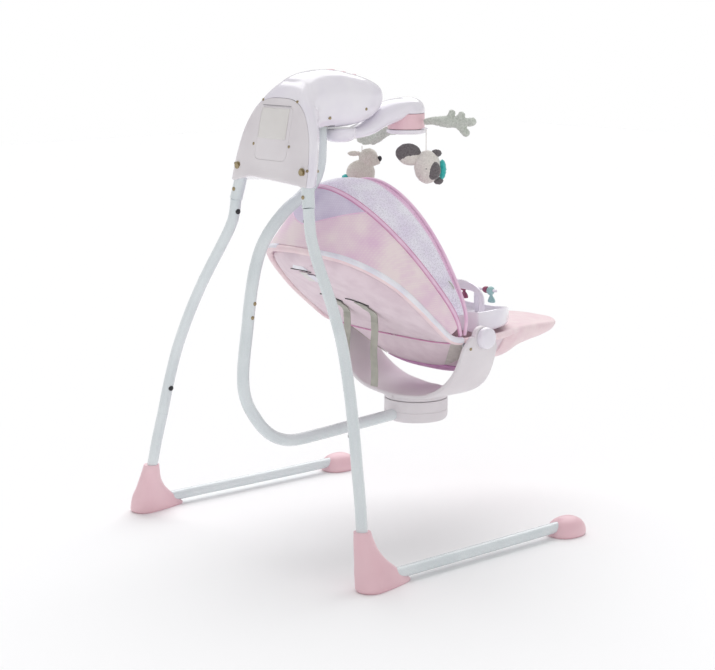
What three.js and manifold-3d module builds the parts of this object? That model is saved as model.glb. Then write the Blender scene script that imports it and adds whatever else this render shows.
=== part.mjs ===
// Powered baby swing: a tubular A-frame stand, a drive housing with a forward nose, a curved swing arm
// that hangs from a shaft in the nose, a swivelling yoke with a reclining seat, a folding canopy,
// a play tray and a toy mobile. Millimetres, +Z up, +Y towards the foot end, X = 0 is the middle plane.
import * as THREE from "three";
import { mergeVertices } from "three/addons/utils/BufferGeometryUtils.js";
import Module from "manifold-3d";

const wasm = await Module();
wasm.setup();

// ---------------------------------------------------------------- driving dimensions
const CENTRE_Y = 396.2; // middle of the overall depth, which becomes y = 0
const GAP = 0.3; // between pieces that touch
const LEG_R = 11; // leg and base tubes, outside radius
const STUB_R = 12.5; // sockets that hold the legs at the top
const ARM_R = 12; // swing arm tube, outside radius
const TUBE_WALL = 1.5;
const LEG_STEPS = 12; // stretches along each tube
const BASE_STEPS = 20;
const SHELL = 3; // wall of the moulded housing
const PIVOT_Z = 860; // height of the swing shaft
const SHAFT_R = 7;
const SWIVEL_Y = 448; // vertical swivel axis of the seat
const DRUM_R = 67;
const DRUM_Z = [196, 242];
const RECLINE = { y: 440, z: 390, x: 184 }; // seat pivots
const BOW = { y: 402, z: 404, halfWidth: 205, base: 184, r: 4 }; // canopy hoops
const FRONT_BOW = { y: 408, height: 318, lean: 73.6 }; // lean is measured up from the rear horizontal, degrees
const REAR_BOW = { y: 396, height: 363, lean: 55.3 };
const MOBILE_Y = 235; // vertical axis of the mobile arm
const HUB_Y = 416; // centre of the mobile's hub
const BAR_TURN = THREE.MathUtils.degToRad(15); // the toy bar's turn away from X
const INLET = { x: -60, z: 762, face: 124, r: 6, bore: 3.3 }; // socket that opens through the column's front wall
const LOCK_BUTTON = { r: 5.5, length: 7, out: 2.5 };
const FLOOR_FOOT = { heel: 27, tip: 101 };

// ---------------------------------------------------------------- materials
const finish = (color, roughness, metalness = 0) => new THREE.MeshStandardMaterial({ color, roughness, metalness });
const WHITE = finish("#f2eff5", 0.25);
const PANEL = finish("#e6dfe2", 0.45);
const ENAMEL = finish("#d8e0e2", 0.3, 0.2);
const PINK = finish("#e8c8ce", 0.4);
const BLACK = finish("#26262a", 0.5);
const STEEL = finish("#9a9890", 0.35, 1);
const COPPER = finish("#b06a38", 0.4, 1);
const BOARD = finish("#2f7a4b", 0.6);
const FABRIC = finish("#e3cfd6", 0.9);
const CANOPY = finish("#e9c6dd", 0.85);
const MESH_BAND = finish("#edeaf5", 0.8);
const PIPING = finish("#d99bc0", 0.7);
const WEBBING = finish("#a9a89f", 0.9);
const PLUSH = finish("#bfc4bc", 1);
const DEER = finish("#d9d2c8", 1);
const WHALE = finish("#6f6a6c", 1);
const MAROON = finish("#9c4a6c", 0.4);
const TEAL = finish("#aecfcf", 0.4);

// ---------------------------------------------------------------- shape helpers
const swing = new THREE.Group();
swing.position.y = -CENTRE_Y;

/** A point. */
const at = (x, y, z) => new THREE.Vector3(x, y, z);

const [X, Y, Z] = [at(1, 0, 0), at(0, 1, 0), at(0, 0, 1)];
const SIDES = [["left", -1], ["right", 1]];

/** The same points on the other side of the middle plane. */
const mirrored = (points, side) => points.map((p) => at(side * p.x, p.y, p.z));

/** Keeps only positions, merges them, and makes the faces point out. */
function closed(geometry) {
  const bare = new THREE.BufferGeometry();
  bare.setAttribute("position", geometry.getAttribute("position"));
  if (geometry.index) bare.setIndex(geometry.index);
  const merged = mergeVertices(bare, 1e-4);
  const p = merged.getAttribute("position");
  const index = [];
  let volume = 0;
  const [a, b, c] = [at(0, 0, 0), at(0, 0, 0), at(0, 0, 0)];
  for (let i = 0; i < merged.index.count; i += 3) {
    const t = [merged.index.getX(i), merged.index.getX(i + 1), merged.index.getX(i + 2)];
    if (t[0] === t[1] || t[1] === t[2] || t[0] === t[2]) continue;
    a.fromBufferAttribute(p, t[0]);
    b.fromBufferAttribute(p, t[1]);
    c.fromBufferAttribute(p, t[2]);
    volume += a.dot(b.cross(c));
    index.push(t);
  }
  merged.setIndex(index.map((t) => (volume < 0 ? [t[0], t[2], t[1]] : t)).flat());
  return merged;
}

/** A manifold solid from a geometry. */
function solid(geometry) {
  const g = closed(geometry);
  const vertProperties = new Float32Array(g.getAttribute("position").array);
  const triVerts = new Uint32Array(g.index.array);
  const mesh = new wasm.Mesh({ numProp: 3, vertProperties, triVerts });
  mesh.merge();
  return new wasm.Manifold(mesh);
}

/** The biggest body of a cut solid, without the slivers that a cut leaves. */
const largest = (manifold) => manifold.decompose().sort((a, b) => b.volume() - a.volume())[0];

/** A geometry from a manifold solid. */
function geometryOf(manifold) {
  const mesh = manifold.getMesh();
  const g = new THREE.BufferGeometry();
  g.setAttribute("position", new THREE.BufferAttribute(new Float32Array(mesh.vertProperties), 3));
  g.setIndex([...mesh.triVerts]);
  return closed(g);
}

/** Names a piece and hangs it in the model. */
function piece(name, shape, material) {
  const geometry = shape instanceof THREE.BufferGeometry ? closed(shape) : geometryOf(shape);
  geometry.computeVertexNormals();
  const mesh = new THREE.Mesh(geometry, material);
  mesh.name = name;
  swing.add(mesh);
}

/** Triangles that fill a ring, worked out in the plane that shows most of its area. */
function flatFaces(points) {
  const normal = at(0, 0, 0);
  points.forEach((p, i) => normal.add(p.clone().cross(points[(i + 1) % points.length])));
  normal.normalize();
  const u = normal.clone().cross(Math.abs(normal.z) > 0.9 ? X : Z).normalize();
  const w = normal.clone().cross(u);
  return THREE.ShapeUtils.triangulateShape(points.map((p) => new THREE.Vector2(p.dot(u), p.dot(w))), []);
}

/** Skins a row of rings that hold equally many points; the ends are closed unless the row is a loop. */
function loft(rings, loop = false) {
  const n = rings[0].length;
  const positions = rings.flat().flatMap((p) => [p.x, p.y, p.z]);
  const index = [];
  const last = loop ? rings.length : rings.length - 1;
  for (let r = 0; r < last; r++) {
    const [low, high] = [r * n, ((r + 1) % rings.length) * n];
    for (let i = 0; i < n; i++) {
      const j = (i + 1) % n;
      index.push(low + i, low + j, high + j, low + i, high + j, high + i);
    }
  }
  if (!loop) {
    const lastStart = (rings.length - 1) * n;
    for (const [a, b, c] of flatFaces(rings[0])) index.push(a, c, b);
    for (const [a, b, c] of flatFaces(rings[rings.length - 1])) index.push(lastStart + a, lastStart + b, lastStart + c);
  }
  const g = new THREE.BufferGeometry();
  g.setAttribute("position", new THREE.Float32BufferAttribute(positions, 3));
  g.setIndex(index);
  return g;
}

/** sign(v) * |v|^(2/n), the building block of a superellipse. */
const power = (v, n) => Math.sign(v) * Math.abs(v) ** (2 / n);

/** A superellipse in the plane of the vectors u and w about a centre. */
function ring(centre, u, w, a, b, count = 20, n = 2) {
  return Array.from({ length: count }, (_, i) => {
    const t = (2 * Math.PI * i) / count;
    return centre.clone().addScaledVector(u, a * power(Math.cos(t), n)).addScaledVector(w, b * power(Math.sin(t), n));
  });
}

/** A smooth curve through points. */
const through = (points, loop = false) => new THREE.CatmullRomCurve3(points, loop, "centripetal");

/** A round bar or tube along points. */
function tube(points, r, inner = 0, steps = 14, sides = 8) {
  const shape = new THREE.Shape().absarc(0, 0, r, 0, 2 * Math.PI);
  if (inner) shape.holes.push(new THREE.Path().absarc(0, 0, inner, 0, 2 * Math.PI, true));
  return new THREE.ExtrudeGeometry(shape, { steps, curveSegments: sides / 2, extrudePath: through(points), bevelEnabled: false });
}

/** A cylinder between two points. */
function rod(a, b, r, sides = 14) {
  const g = new THREE.CylinderGeometry(r, r, a.distanceTo(b), sides);
  const turn = new THREE.Quaternion().setFromUnitVectors(at(0, 1, 0), b.clone().sub(a).normalize());
  g.applyQuaternion(turn);
  const middle = a.clone().add(b).multiplyScalar(0.5);
  return g.translate(middle.x, middle.y, middle.z);
}

/** A turned solid about the vertical through (x, y). The profile lists [radius, z]. */
function turned(x, y, profile, sides = 32) {
  const g = new THREE.LatheGeometry(profile.map(([r, z]) => new THREE.Vector2(r, z)), sides);
  return g.rotateX(Math.PI / 2).translate(x, y, 0);
}

/** A block between two corners. */
function block(low, high) {
  const size = high.clone().sub(low);
  const middle = high.clone().add(low).multiplyScalar(0.5);
  return new THREE.BoxGeometry(size.x, size.y, size.z).translate(middle.x, middle.y, middle.z);
}

/** A block with rounded vertical edges and small bevels, its bottom at z. */
function slab(centre, width, depth, height, radius, bevel = 1) {
  const [w, d, r] = [width / 2 - bevel, depth / 2 - bevel, radius];
  const s = new THREE.Shape();
  s.absarc(w - r, d - r, r, 0, Math.PI / 2).absarc(-w + r, d - r, r, Math.PI / 2, Math.PI);
  s.absarc(-w + r, -d + r, r, Math.PI, 1.5 * Math.PI).absarc(w - r, -d + r, r, 1.5 * Math.PI, 2 * Math.PI);
  const options = { depth: height - 2 * bevel, bevelSize: bevel, bevelThickness: bevel, bevelSegments: 1, curveSegments: 3 };
  return new THREE.ExtrudeGeometry(s, options).translate(centre.x, centre.y, centre.z + bevel);
}

/** Value at x of a smooth curve through [x, value] pairs. */
function smooth(pairs, x) {
  const k = Math.max(1, pairs.findIndex((p) => p[0] >= x));
  const i = x >= pairs[pairs.length - 1][0] ? pairs.length - 1 : k;
  const slope = (j) => {
    const [a, b] = [pairs[Math.max(0, j - 1)], pairs[Math.min(pairs.length - 1, j + 1)]];
    return (b[1] - a[1]) / (b[0] - a[0]);
  };
  const [[x0, y0], [x1, y1]] = [pairs[i - 1], pairs[i]];
  const h = x1 - x0;
  const t = (x - x0) / h;
  const [m0, m1] = [slope(i - 1) * h, slope(i) * h];
  return (2 * t ** 3 - 3 * t ** 2 + 1) * y0 + (t ** 3 - 2 * t ** 2 + t) * m0 + (3 * t ** 2 - 2 * t ** 3) * y1 + (t ** 3 - t ** 2) * m1;
}


// ---------------------------------------------------------------- stand: legs, base tubes and feet
const STUB = [at(111.2, 60.9, 679), at(106.8, 64, 700), at(102.4, 67, 722), at(98.2, 70, 745), at(94, 73, 772)];
const LEG = [at(111.5, 60.8, 677.6), at(113.9, 60.3, 660), at(118, 58.8, 640), at(125.9, 55.9, 620), at(149.9, 50.5, 580),
  at(176.7, 45.9, 540), at(202.6, 42, 500), at(235.4, 35.5, 440), at(267.9, 25.1, 360), at(290.9, 17.1, 280),
  at(304.6, 12, 220.7)];
const BASE = [at(304.8, 11.9, 219.9), at(319.7, 6, 160), at(331.8, 0.6, 100), at(340, -2, 66), at(349, 2, 37), at(356, 22, 22),
  at(358, 60, 20), at(357, 160, 20), at(354, 330, 20), at(351.3, 511, 20.5)];

/** A blind pocket and its spring button on the inner side of a tube. */
function lockButton(name, centre, side, tubeSolid) {
  const inward = at(-side, 0, 0);
  const face = centre.clone().addScaledVector(inward, LEG_R + LOCK_BUTTON.out);
  const root = face.clone().addScaledVector(inward, -LOCK_BUTTON.length);
  const bottom = face.clone().addScaledVector(inward, -LOCK_BUTTON.length - 4);
  piece(name, rod(root, face, LOCK_BUTTON.r, 16), BLACK);
  return tubeSolid.subtract(solid(rod(bottom, face, LOCK_BUTTON.r + GAP, 16)));
}

/** Corner foot: heel, ankle sleeve and a wedge that runs forward under the base tube. */
function cornerFoot(side) {
  const rows = [[0, 358, 24, 26, FLOOR_FOOT.heel, 95], [4, 358, 26, 28, FLOOR_FOOT.heel + 4, 97], [9, 358, 27, 29, 31, 90],
    [34, 353, 26, 28, 29, 60], [52, 347, 22, 24, 25, 40], [72, 341, 19, 20, 22, 26],
    [92, 335.5, 16.5, 17, 18.5, 19], [106, 332.5, 15, 15, 16, 16]];
  const rings = rows.map(([z, x, inner, outer, heel, tip]) => Array.from({ length: 18 }, (_, i) => {
    const t = (2 * Math.PI * i) / 18;
    const [c, s] = [Math.cos(t), Math.sin(t)];
    const narrow = s > 0 ? 1 - 0.42 * s * Math.min(1, Math.max(0, (tip - 20) / 60)) : 1;
    return at(side * (x + (c > 0 ? outer : inner) * power(c, 2.3) * narrow), (s > 0 ? tip : heel) * power(s, 2.1), z);
  }));
  return solid(loft(rings)).subtract(solid(tube(mirrored(BASE, side), LEG_R + GAP, 0, BASE_STEPS)));
}

/** End foot: a low rounded shoe on the front end of a base tube. */
function endFoot(side) {
  const rows = [[0, 31, 39], [3, 33, 41.5], [12, 33, 41.5], [22, 30, 38], [30, 24, 31], [36, 14, 19], [38.5, 5, 8]];
  const rings = rows.map(([z, a, b]) => ring(at(side * 352, 537, z), X, Y, a, b, 18, 2.3));
  const socket = rod(at(side * 351.6, 480, 20.4), at(side * 351.2, 512, 20.5), LEG_R + 0.6, 14);
  return solid(loft(rings)).subtract(solid(socket));
}

for (const [label, side] of SIDES) {
  let stub = solid(tube(mirrored(STUB, side), STUB_R, STUB_R - TUBE_WALL, 4, 10));
  const bolt = [at(side * 97.9, 47, 745.7), at(side * 97.9, 89, 745.7)];
  stub = stub.subtract(solid(rod(bolt[0], bolt[1], 3.5, 12)));
  piece(`leg_stub_${label}`, stub, ENAMEL);
  const bore = LEG_R - TUBE_WALL;
  let leg = solid(tube(mirrored(LEG, side), LEG_R, bore, LEG_STEPS));
  leg = lockButton(`upper_lock_button_${label}`, at(side * 115, 59.8, 654), side, leg);
  leg = lockButton(`lower_lock_button_${label}`, at(side * 291.9, 16.8, 275), side, leg);
  piece(`leg_tube_${label}`, leg, ENAMEL);
  piece(`base_tube_${label}`, tube(mirrored(BASE, side), LEG_R, bore, BASE_STEPS), ENAMEL);
  piece(`corner_foot_${label}`, cornerFoot(side), PINK);
  piece(`end_foot_${label}`, endFoot(side), PINK);
}

// ---------------------------------------------------------------- drive housing
const REAR_FACE = [[716, 47], [746, 53], [785, 61], [818, 68], [854, 76], [880, 86], [897, 98], [911, 114], [922, 134], [930, 158]];
const HALF_WIDTH = [[716, 119], [746, 117], [785, 111], [818, 102], [854, 82], [880, 60], [897, 47], [911, 34], [922, 18], [930, 4]];
const NOSE_TOP = [[84, 872], [100, 893], [122, 919], [163, 930.5], [211, 931], [250, 924], [290, 914], [318, 902], [332, 890], [339, 872]];
const NOSE_BOTTOM = [[84, 770], [100, 786], [122, 802], [150, 815], [200, 818], [250, 820.5], [290, 829], [318, 845], [332, 857], [339, 866]];
const NOSE_WIDTH = [[84, 78], [100, 70], [122, 60], [150, 51], [200, 48], [250, 48], [290, 44], [318, 34], [332, 20], [339, 3]];

const COLUMN = { front: 69, rear: 16 }; // depths before and behind the widest section

/** Outer form of the column, shrunk inwards by a distance. */
function column(inset) {
  const rings = [716, 740, 785, 818, 845, 868, 888, 905, 920].map((z) => {
    const back = smooth(REAR_FACE, z) + inset;
    const wide = smooth(HALF_WIDTH, z) - inset;
    const front = Math.max(32, COLUMN.front - Math.max(0, z - 860) * 0.5) - inset;
    const rear = COLUMN.rear - inset;
    return Array.from({ length: 22 }, (_, i) => {
      const t = (2 * Math.PI * i) / 22;
      const [c, s] = [Math.cos(t), Math.sin(t)];
      const x = wide * power(c, s > 0 ? 1.5 : 3.2);
      const y = back + rear + (s > 0 ? front * power(s, 1.5) : rear * power(s, 4.5));
      const arch = z === 716 ? 15 * (1 - Math.min(1, Math.abs(x) / 96) ** 4) : 0;
      return at(x, y, z + (inset && z === 716 ? -6 : arch));
    });
  });
  return solid(loft(rings));
}

/** Outer form of the nose, shrunk inwards by a distance. */
function nose(inset) {
  const stations = [84, 104, 128, 160, 205, 255, 292, 318, 332, 339].map((y) => (y === 339 ? y - inset : y));
  const rings = stations.map((y) => {
    const [top, bottom] = [smooth(NOSE_TOP, y) - inset, smooth(NOSE_BOTTOM, y) + inset];
    const wide = Math.max(2, smooth(NOSE_WIDTH, y) - inset);
    const half = Math.max(2, (top - bottom) / 2);
    return ring(at(0, y, (top + bottom) / 2), X, Z, wide, half, 18, 2.5);
  });
  return solid(loft(rings));
}

const BUTTONS = [["power_button", 212], ["speed_button", 240], ["music_button", 268]];
const shell = column(0).add(nose(0)).subtract(column(SHELL).add(nose(SHELL)));
const REAR_LEAN = 0.2013; // radians, the rear face's lean
const REAR_SEAM = 54 - 722 * Math.tan(REAR_LEAN); // the seam plane passes y = 54 at z = 722
const behind = block(at(-200, -60, 600), at(200, 0, 1000)).rotateX(-REAR_LEAN).translate(0, REAR_SEAM, 0);
const behindGap = behind.clone().translate(0, GAP, 0);

function housing() {
  let body = shell.subtract(solid(behindGap));
  body = body.subtract(solid(block(at(-28, 168, 780), at(28, 204.5, 832)))); // slot for the swinging arm
  body = body.subtract(solid(rod(at(0, MOBILE_Y, 800), at(0, MOBILE_Y, 830), 8.6))); // mobile's pin
  for (const [, y] of BUTTONS) body = body.subtract(solid(rod(at(0, y, 900), at(0, y, 940), 9.4)));
  body = body.subtract(solid(rod(at(INLET.x, 90, INLET.z), at(INLET.x, 150, INLET.z), INLET.r + 0.6)));
  for (const [, side] of SIDES) body = body.subtract(solid(tube(mirrored(STUB, side), STUB_R + 0.5, 0, 4, 10)));
  return largest(body);
}
piece("housing_shell", housing(), WHITE);

const DOOR = [at(-52, 30, 763), at(52, 110, 858)];
function rearCover() {
  let cover = shell.intersect(solid(behind));
  cover = cover.subtract(solid(block(DOOR[0].clone().subScalar(GAP), DOOR[1].clone().addScalar(GAP))));
  for (const [, side] of SIDES) {
    cover = cover.subtract(solid(rod(at(side * 97.9, 40, 745.7), at(side * 97.9, 90, 745.7), 3.5, 12)));
    cover = cover.subtract(solid(tube(mirrored(STUB, side), STUB_R + 0.5, 0, 4, 10)));
  }
  return largest(cover);
}
piece("rear_cover", rearCover(), PANEL);
piece("battery_door", shell.intersect(solid(behind)).intersect(solid(block(...DOOR))), PANEL);

for (const [label, side] of SIDES) {
  const shank = solid(rod(at(side * 97.9, 50, 745.7), at(side * 97.9, 87, 745.7), 3, 12));
  const head = solid(rod(at(side * 97.9, 48.4, 745.7), at(side * 97.9, 52.6, 745.7), 6, 16));
  piece(`housing_bolt_${label}`, shank.add(head), STEEL);
}

/** Open tray that holds the cells, standing behind the door. */
function batteryBox() {
  const corner = (x, y, z) => at(x, y + (z - 766) * 0.17, z);
  const frame = (x, y0, y1, z) => [corner(-x, y0, z), corner(x, y0, z), corner(x, y1, z), corner(-x, y1, z)];
  const outer = solid(loft([frame(44, 65, 86, 766), frame(44, 65, 86, 836)]));
  return outer.subtract(solid(loft([frame(42, 60, 84, 768), frame(42, 60, 84, 834)])));
}
piece("battery_box", batteryBox(), BLACK);
piece("circuit_board", block(at(-80, 88, 790), at(-50, 89.6, 828)), BOARD);
piece("speaker", solid(rod(at(68, 88, 800), at(68, 92, 800), 12)).add(solid(rod(at(68, 91.9, 800), at(68, 100, 800), 18))), BLACK);
const inletBody = solid(rod(at(INLET.x, INLET.face - 15, INLET.z), at(INLET.x, INLET.face, INLET.z), INLET.r));
const inletBore = solid(rod(at(INLET.x, INLET.face - 9, INLET.z), at(INLET.x, 150, INLET.z), INLET.bore));
piece("dc_inlet", inletBody.subtract(inletBore), BLACK);

/** Ring of copper wire under the swinging magnet. */
const coil = turned(0, 110, [[5, 776], [14, 776], [14, 810], [5, 810], [5, 776]], 14);
piece("drive_coil", coil, COPPER);
for (const [name, y] of [["rear_bearing_bracket", 122], ["front_bearing_bracket", 264]]) {
  const plate = solid(block(at(-30, y, 840), at(30, y + 6, 888)));
  piece(name, plate.subtract(solid(rod(at(0, y - 5, PIVOT_Z), at(0, y + 11, PIVOT_Z), SHAFT_R + 0.4, 16))), STEEL);
}
for (const [name, y] of BUTTONS) {
  const top = smooth(NOSE_TOP, y);
  piece(name, turned(0, y, [[0, top - 7], [9, top - 7], [9, top - 0.4], [7.5, top + 0.7], [0, top + 0.9]], 14), PINK);
}

// ---------------------------------------------------------------- swing arm
const ARM_TOP = [at(0, 187, 840.5), at(0, 187, 806), at(0, 186, 775), at(0, 183, 745), at(0, 168, 713), at(0, 132, 684),
  at(0, 102, 666), at(0, 76, 645), at(0, 52, 620), at(0, 34, 593), at(0, 20, 557), at(0, 11, 521), at(0, 4, 481), at(0, -1, 443.3)];
const ARM_LOW = [at(0, -1.1, 442.7), at(0, -8, 399), at(0, -13, 356), at(0, -11.5, 318), at(0, -2, 289), at(0, 14, 263),
  at(0, 35, 237), at(0, 60, 217), at(0, 88, 205), at(0, 114, 200.5), at(0, 182, 202), at(0, 252, 205.5), at(0, 318, 209),
  at(0, 396, 213)];
let hub = solid(rod(at(0, 94, PIVOT_Z), at(0, 282, PIVOT_Z), SHAFT_R, 16));
hub = hub.add(solid(rod(at(0, 171, PIVOT_Z), at(0, 203, PIVOT_Z), 18.5, 16)));
hub = hub.add(solid(block(at(-6, 102, 832), at(6, 116, PIVOT_Z))));
hub = hub.add(solid(rod(at(0, 187, 822), at(0, 187, PIVOT_Z), 15.5, 14)));
piece("swing_hub", hub.subtract(solid(rod(at(0, 187, 800), at(0, 187, 841), ARM_R + 0.8, 12))), STEEL);
piece("drive_magnet", block(at(-10, 100, 818), at(10, 118, 831.7)), BLACK);
piece("upper_arm_tube", tube(ARM_TOP, ARM_R, ARM_R - TUBE_WALL, 15), ENAMEL);
piece("lower_arm_tube", tube(ARM_LOW, ARM_R, ARM_R - TUBE_WALL, 17), ENAMEL);

const drumProfile = [[0, DRUM_Z[0] + 2], [10, DRUM_Z[0]], [60, DRUM_Z[0]], [65, DRUM_Z[0] + 3], [DRUM_R, DRUM_Z[0] + 9],
  [DRUM_R, DRUM_Z[1]], [15.4, DRUM_Z[1]], [15.4, 224], [0, 224]];
const drum = solid(turned(0, SWIVEL_Y, drumProfile, 24));
piece("swivel_base", drum.subtract(solid(rod(ARM_LOW[ARM_LOW.length - 2], at(0, 399, 213.1), ARM_R + 0.6, 14))), PANEL);

// ---------------------------------------------------------------- yoke that carries the seat
function yoke() {
  const mid = [at(0, 447, 254), at(50, 447, 257), at(100, 446, 266), at(141, 444, 288), at(170, 441, 318), at(188, 438, 350),
    at(198, 437, 380), at(200, 439, 400)];
  const width = [[0, 66], [60, 66], [105, 64], [141, 60], [170, 54], [188, 50], [198, 47], [200, 44]];
  const path = through([...mirrored(mid, -1).reverse().slice(0, -1), ...mid]);
  const steps = 18;
  const rings = Array.from({ length: steps + 1 }, (_, i) => {
    const p = path.getPointAt(i / steps);
    const tangent = path.getTangentAt(i / steps);
    const out = at(-tangent.z, 0, tangent.x).normalize();
    const end = Math.min(i, steps - i) === 0 ? 0.72 : 1;
    return ring(p, Y, out, end * smooth(width, Math.min(200, Math.abs(p.x))), 6, 8, 4);
  });
  let body = solid(loft(rings));
  body = body.add(solid(turned(0, SWIVEL_Y, [[0, 226], [15, 226], [15, 243], [DRUM_R, 243], [DRUM_R, 256], [62, 259], [0, 259]], 24)));
  for (const [, side] of SIDES) {
    body = body.add(solid(rod(at(side * 194.2, RECLINE.y, 396), at(side * 205.8, RECLINE.y, 396), 24, 18)));
  }
  for (const [, side] of SIDES) {
    body = body.subtract(solid(rod(at(side * 190, RECLINE.y, RECLINE.z), at(side * 210, RECLINE.y, RECLINE.z), 6.5, 14)));
  }
  return body;
}
piece("seat_yoke", yoke(), PANEL);
for (const [label, side] of SIDES) {
  const profile = [[0, 0], [22, 0], [22, 8], [19.5, 12.5], [12, 15], [0, 15.6]].map(([r, h]) => new THREE.Vector2(r, h));
  const cap = new THREE.LatheGeometry(profile, 18).rotateZ(-side * Math.PI / 2);
  piece(`pivot_cap_${label}`, cap.translate(side * 206.2, RECLINE.y + 3, 396), WHITE);
}

// ---------------------------------------------------------------- seat
const RIM_R = 7;
const RIM_STEPS = 44;
const RIM = [at(0, 121, 582), at(60, 127, 580), at(113, 148, 571), at(154, 183, 549), at(180, 225, 517), at(191, 270, 477),
  at(190, 320, 434), at(186, 368, 398), at(RECLINE.x, 404, 390.5), at(RECLINE.x, RECLINE.y, RECLINE.z), at(183, 480, 388),
  at(170, 530, 386), at(148, 580, 384), at(125, 630, 381), at(110, 690, 377), at(100, 740, 374), at(76, 785, 371),
  at(40, 809, 370), at(0, 816, 369)];
const rimPath = through([...RIM, ...mirrored(RIM, -1).slice(1, -1).reverse()], true);
const rimRings = Array.from({ length: RIM_STEPS }, (_, i) => {
  const tangent = rimPath.getTangentAt(i / RIM_STEPS);
  const side = tangent.clone().cross(Z).normalize();
  return ring(rimPath.getPointAt(i / RIM_STEPS), side, side.clone().cross(tangent), RIM_R, RIM_R, 6);
});
let rim = solid(loft(rimRings, true));
for (const [, side] of SIDES) {
  rim = rim.add(solid(rod(at(side * RECLINE.x, RECLINE.y, RECLINE.z), at(side * 205, RECLINE.y, RECLINE.z), 6, 14)));
}
piece("rim_frame", rim, STEEL);

const RIM_HALF = RIM.slice(1).map((p) => [p.y, p.x]);
const RIM_Z = RIM.map((p) => [p.y, p.z]);
const UNDER = [[132, 552], [180, 517], [230, 485], [276, 454], [330, 419], [385, 382], [410, 350], [440, 322], [480, 302], [530, 295],
  [580, 301], [620, 315], [660, 327], [720, 337], [810, 350]];

/** A fabric dish that hangs inside the rim between two stations. */
function dish(from, to, steps, thick, roll) {
  const rings = Array.from({ length: steps + 1 }, (_, i) => {
    const y = from + ((to - from) * i) / steps;
    const slope = smooth(RIM_HALF, y + 1) - smooth(RIM_HALF, y);
    const wide = smooth(RIM_HALF, y) - (RIM_R + 2.5) * Math.hypot(1, slope);
    const top = smooth(RIM_Z, y) - 4;
    const low = smooth(UNDER, y);
    const count = 8;
    const row = (lift, shrink) => Array.from({ length: count + 1 }, (_, k) => {
      const u = -1 + (2 * k) / count;
      return at(u * (wide - shrink), y, low + lift + (top - low - lift * 0.5) * Math.abs(u) ** roll);
    });
    return [...row(0, 0), ...row(thick, 4).reverse()];
  });
  return loft(rings);
}
piece("seat_back", dish(142, 384.5, 9, 8, 4), FABRIC);
piece("seat_bottom", dish(385.2, 600, 9, 8, 3.4), FABRIC);
piece("footrest", dish(600.7, 796, 7, 8, 4), FABRIC);
piece("harness_buckle", slab(at(0, 478, 318), 46, 30, 12, 8, 1.5), BLACK);
for (const [label, side] of SIDES) {
  piece(`harness_strap_${label}`, block(at(side * 42 - 10, 290, 292), at(side * 42 + 10, 292.2, 433)), WEBBING);
}

// ---------------------------------------------------------------- canopy hoops and cloth
/** A hoop: from the base out to full width, then an elliptic arch. forward moves it off its own plane. */
function hoop(bow, forward = 0) {
  const lean = THREE.MathUtils.degToRad(bow.lean);
  const off = at(0, forward * Math.sin(lean), forward * Math.cos(lean));
  const flat = [[BOW.base, 0], [197, 0.1]];
  for (const degrees of [12, 26, 40, 54, 68, 80]) {
    const t = THREE.MathUtils.degToRad(degrees);
    flat.push([BOW.halfWidth * Math.cos(t), Math.sin(t)]);
  }
  flat.push([0, 1]);
  const half = flat.map(([x, f]) => {
    const reach = f * bow.height;
    return at(x, bow.y - reach * Math.cos(lean), BOW.z + reach * Math.sin(lean)).add(off);
  });
  return through([...half, ...mirrored(half, -1).reverse().slice(1)]);
}

/** A thin cloth between two curves, swollen outwards from a centre. */
function cloth(first, second, rows, swell, thick, start, count = 14) {
  const heart = at(0, 330, 430);
  const grid = (offset) => Array.from({ length: rows + 1 }, (_, r) => Array.from({ length: count + 1 }, (_, k) => {
    const t = start + ((1 - 2 * start) * k) / count;
    const p = first.getPointAt(t).lerp(second.getPointAt(t), r / rows);
    const out = p.clone().sub(heart).normalize();
    return p.addScaledVector(out, swell * Math.sin((Math.PI * r) / rows) * Math.sin(Math.PI * t) + offset);
  }));
  const [under, over] = [grid(0), grid(thick)];
  return loft(under.map((row, r) => [...row, ...over[r].slice().reverse()]));
}

const bowTube = (bow) => new THREE.ExtrudeGeometry(new THREE.Shape().absarc(0, 0, BOW.r, 0, 2 * Math.PI),
  { steps: 22, curveSegments: 3, extrudePath: hoop(bow), bevelEnabled: false });
piece("rear_bow", bowTube(REAR_BOW), PIPING);
piece("front_bow", bowTube(FRONT_BOW), PIPING);
piece("canopy_band", cloth(hoop(REAR_BOW, 6.5), hoop(FRONT_BOW, -6.5), 4, 8, 2.4, 0.1), MESH_BAND);
const rimBack = [...RIM.slice(0, 8)].map((p) => at(p.x * 1.02, p.y - 3, p.z + 14));
const rimEdge = through([at(180, 390, 408), ...rimBack.slice().reverse(), ...mirrored(rimBack, -1).slice(1), at(-180, 390, 408)]);
piece("canopy_rear_cloth", cloth(rimEdge, hoop(REAR_BOW, -6.5), 5, 3, 2.4, 0.04), CANOPY);

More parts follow.
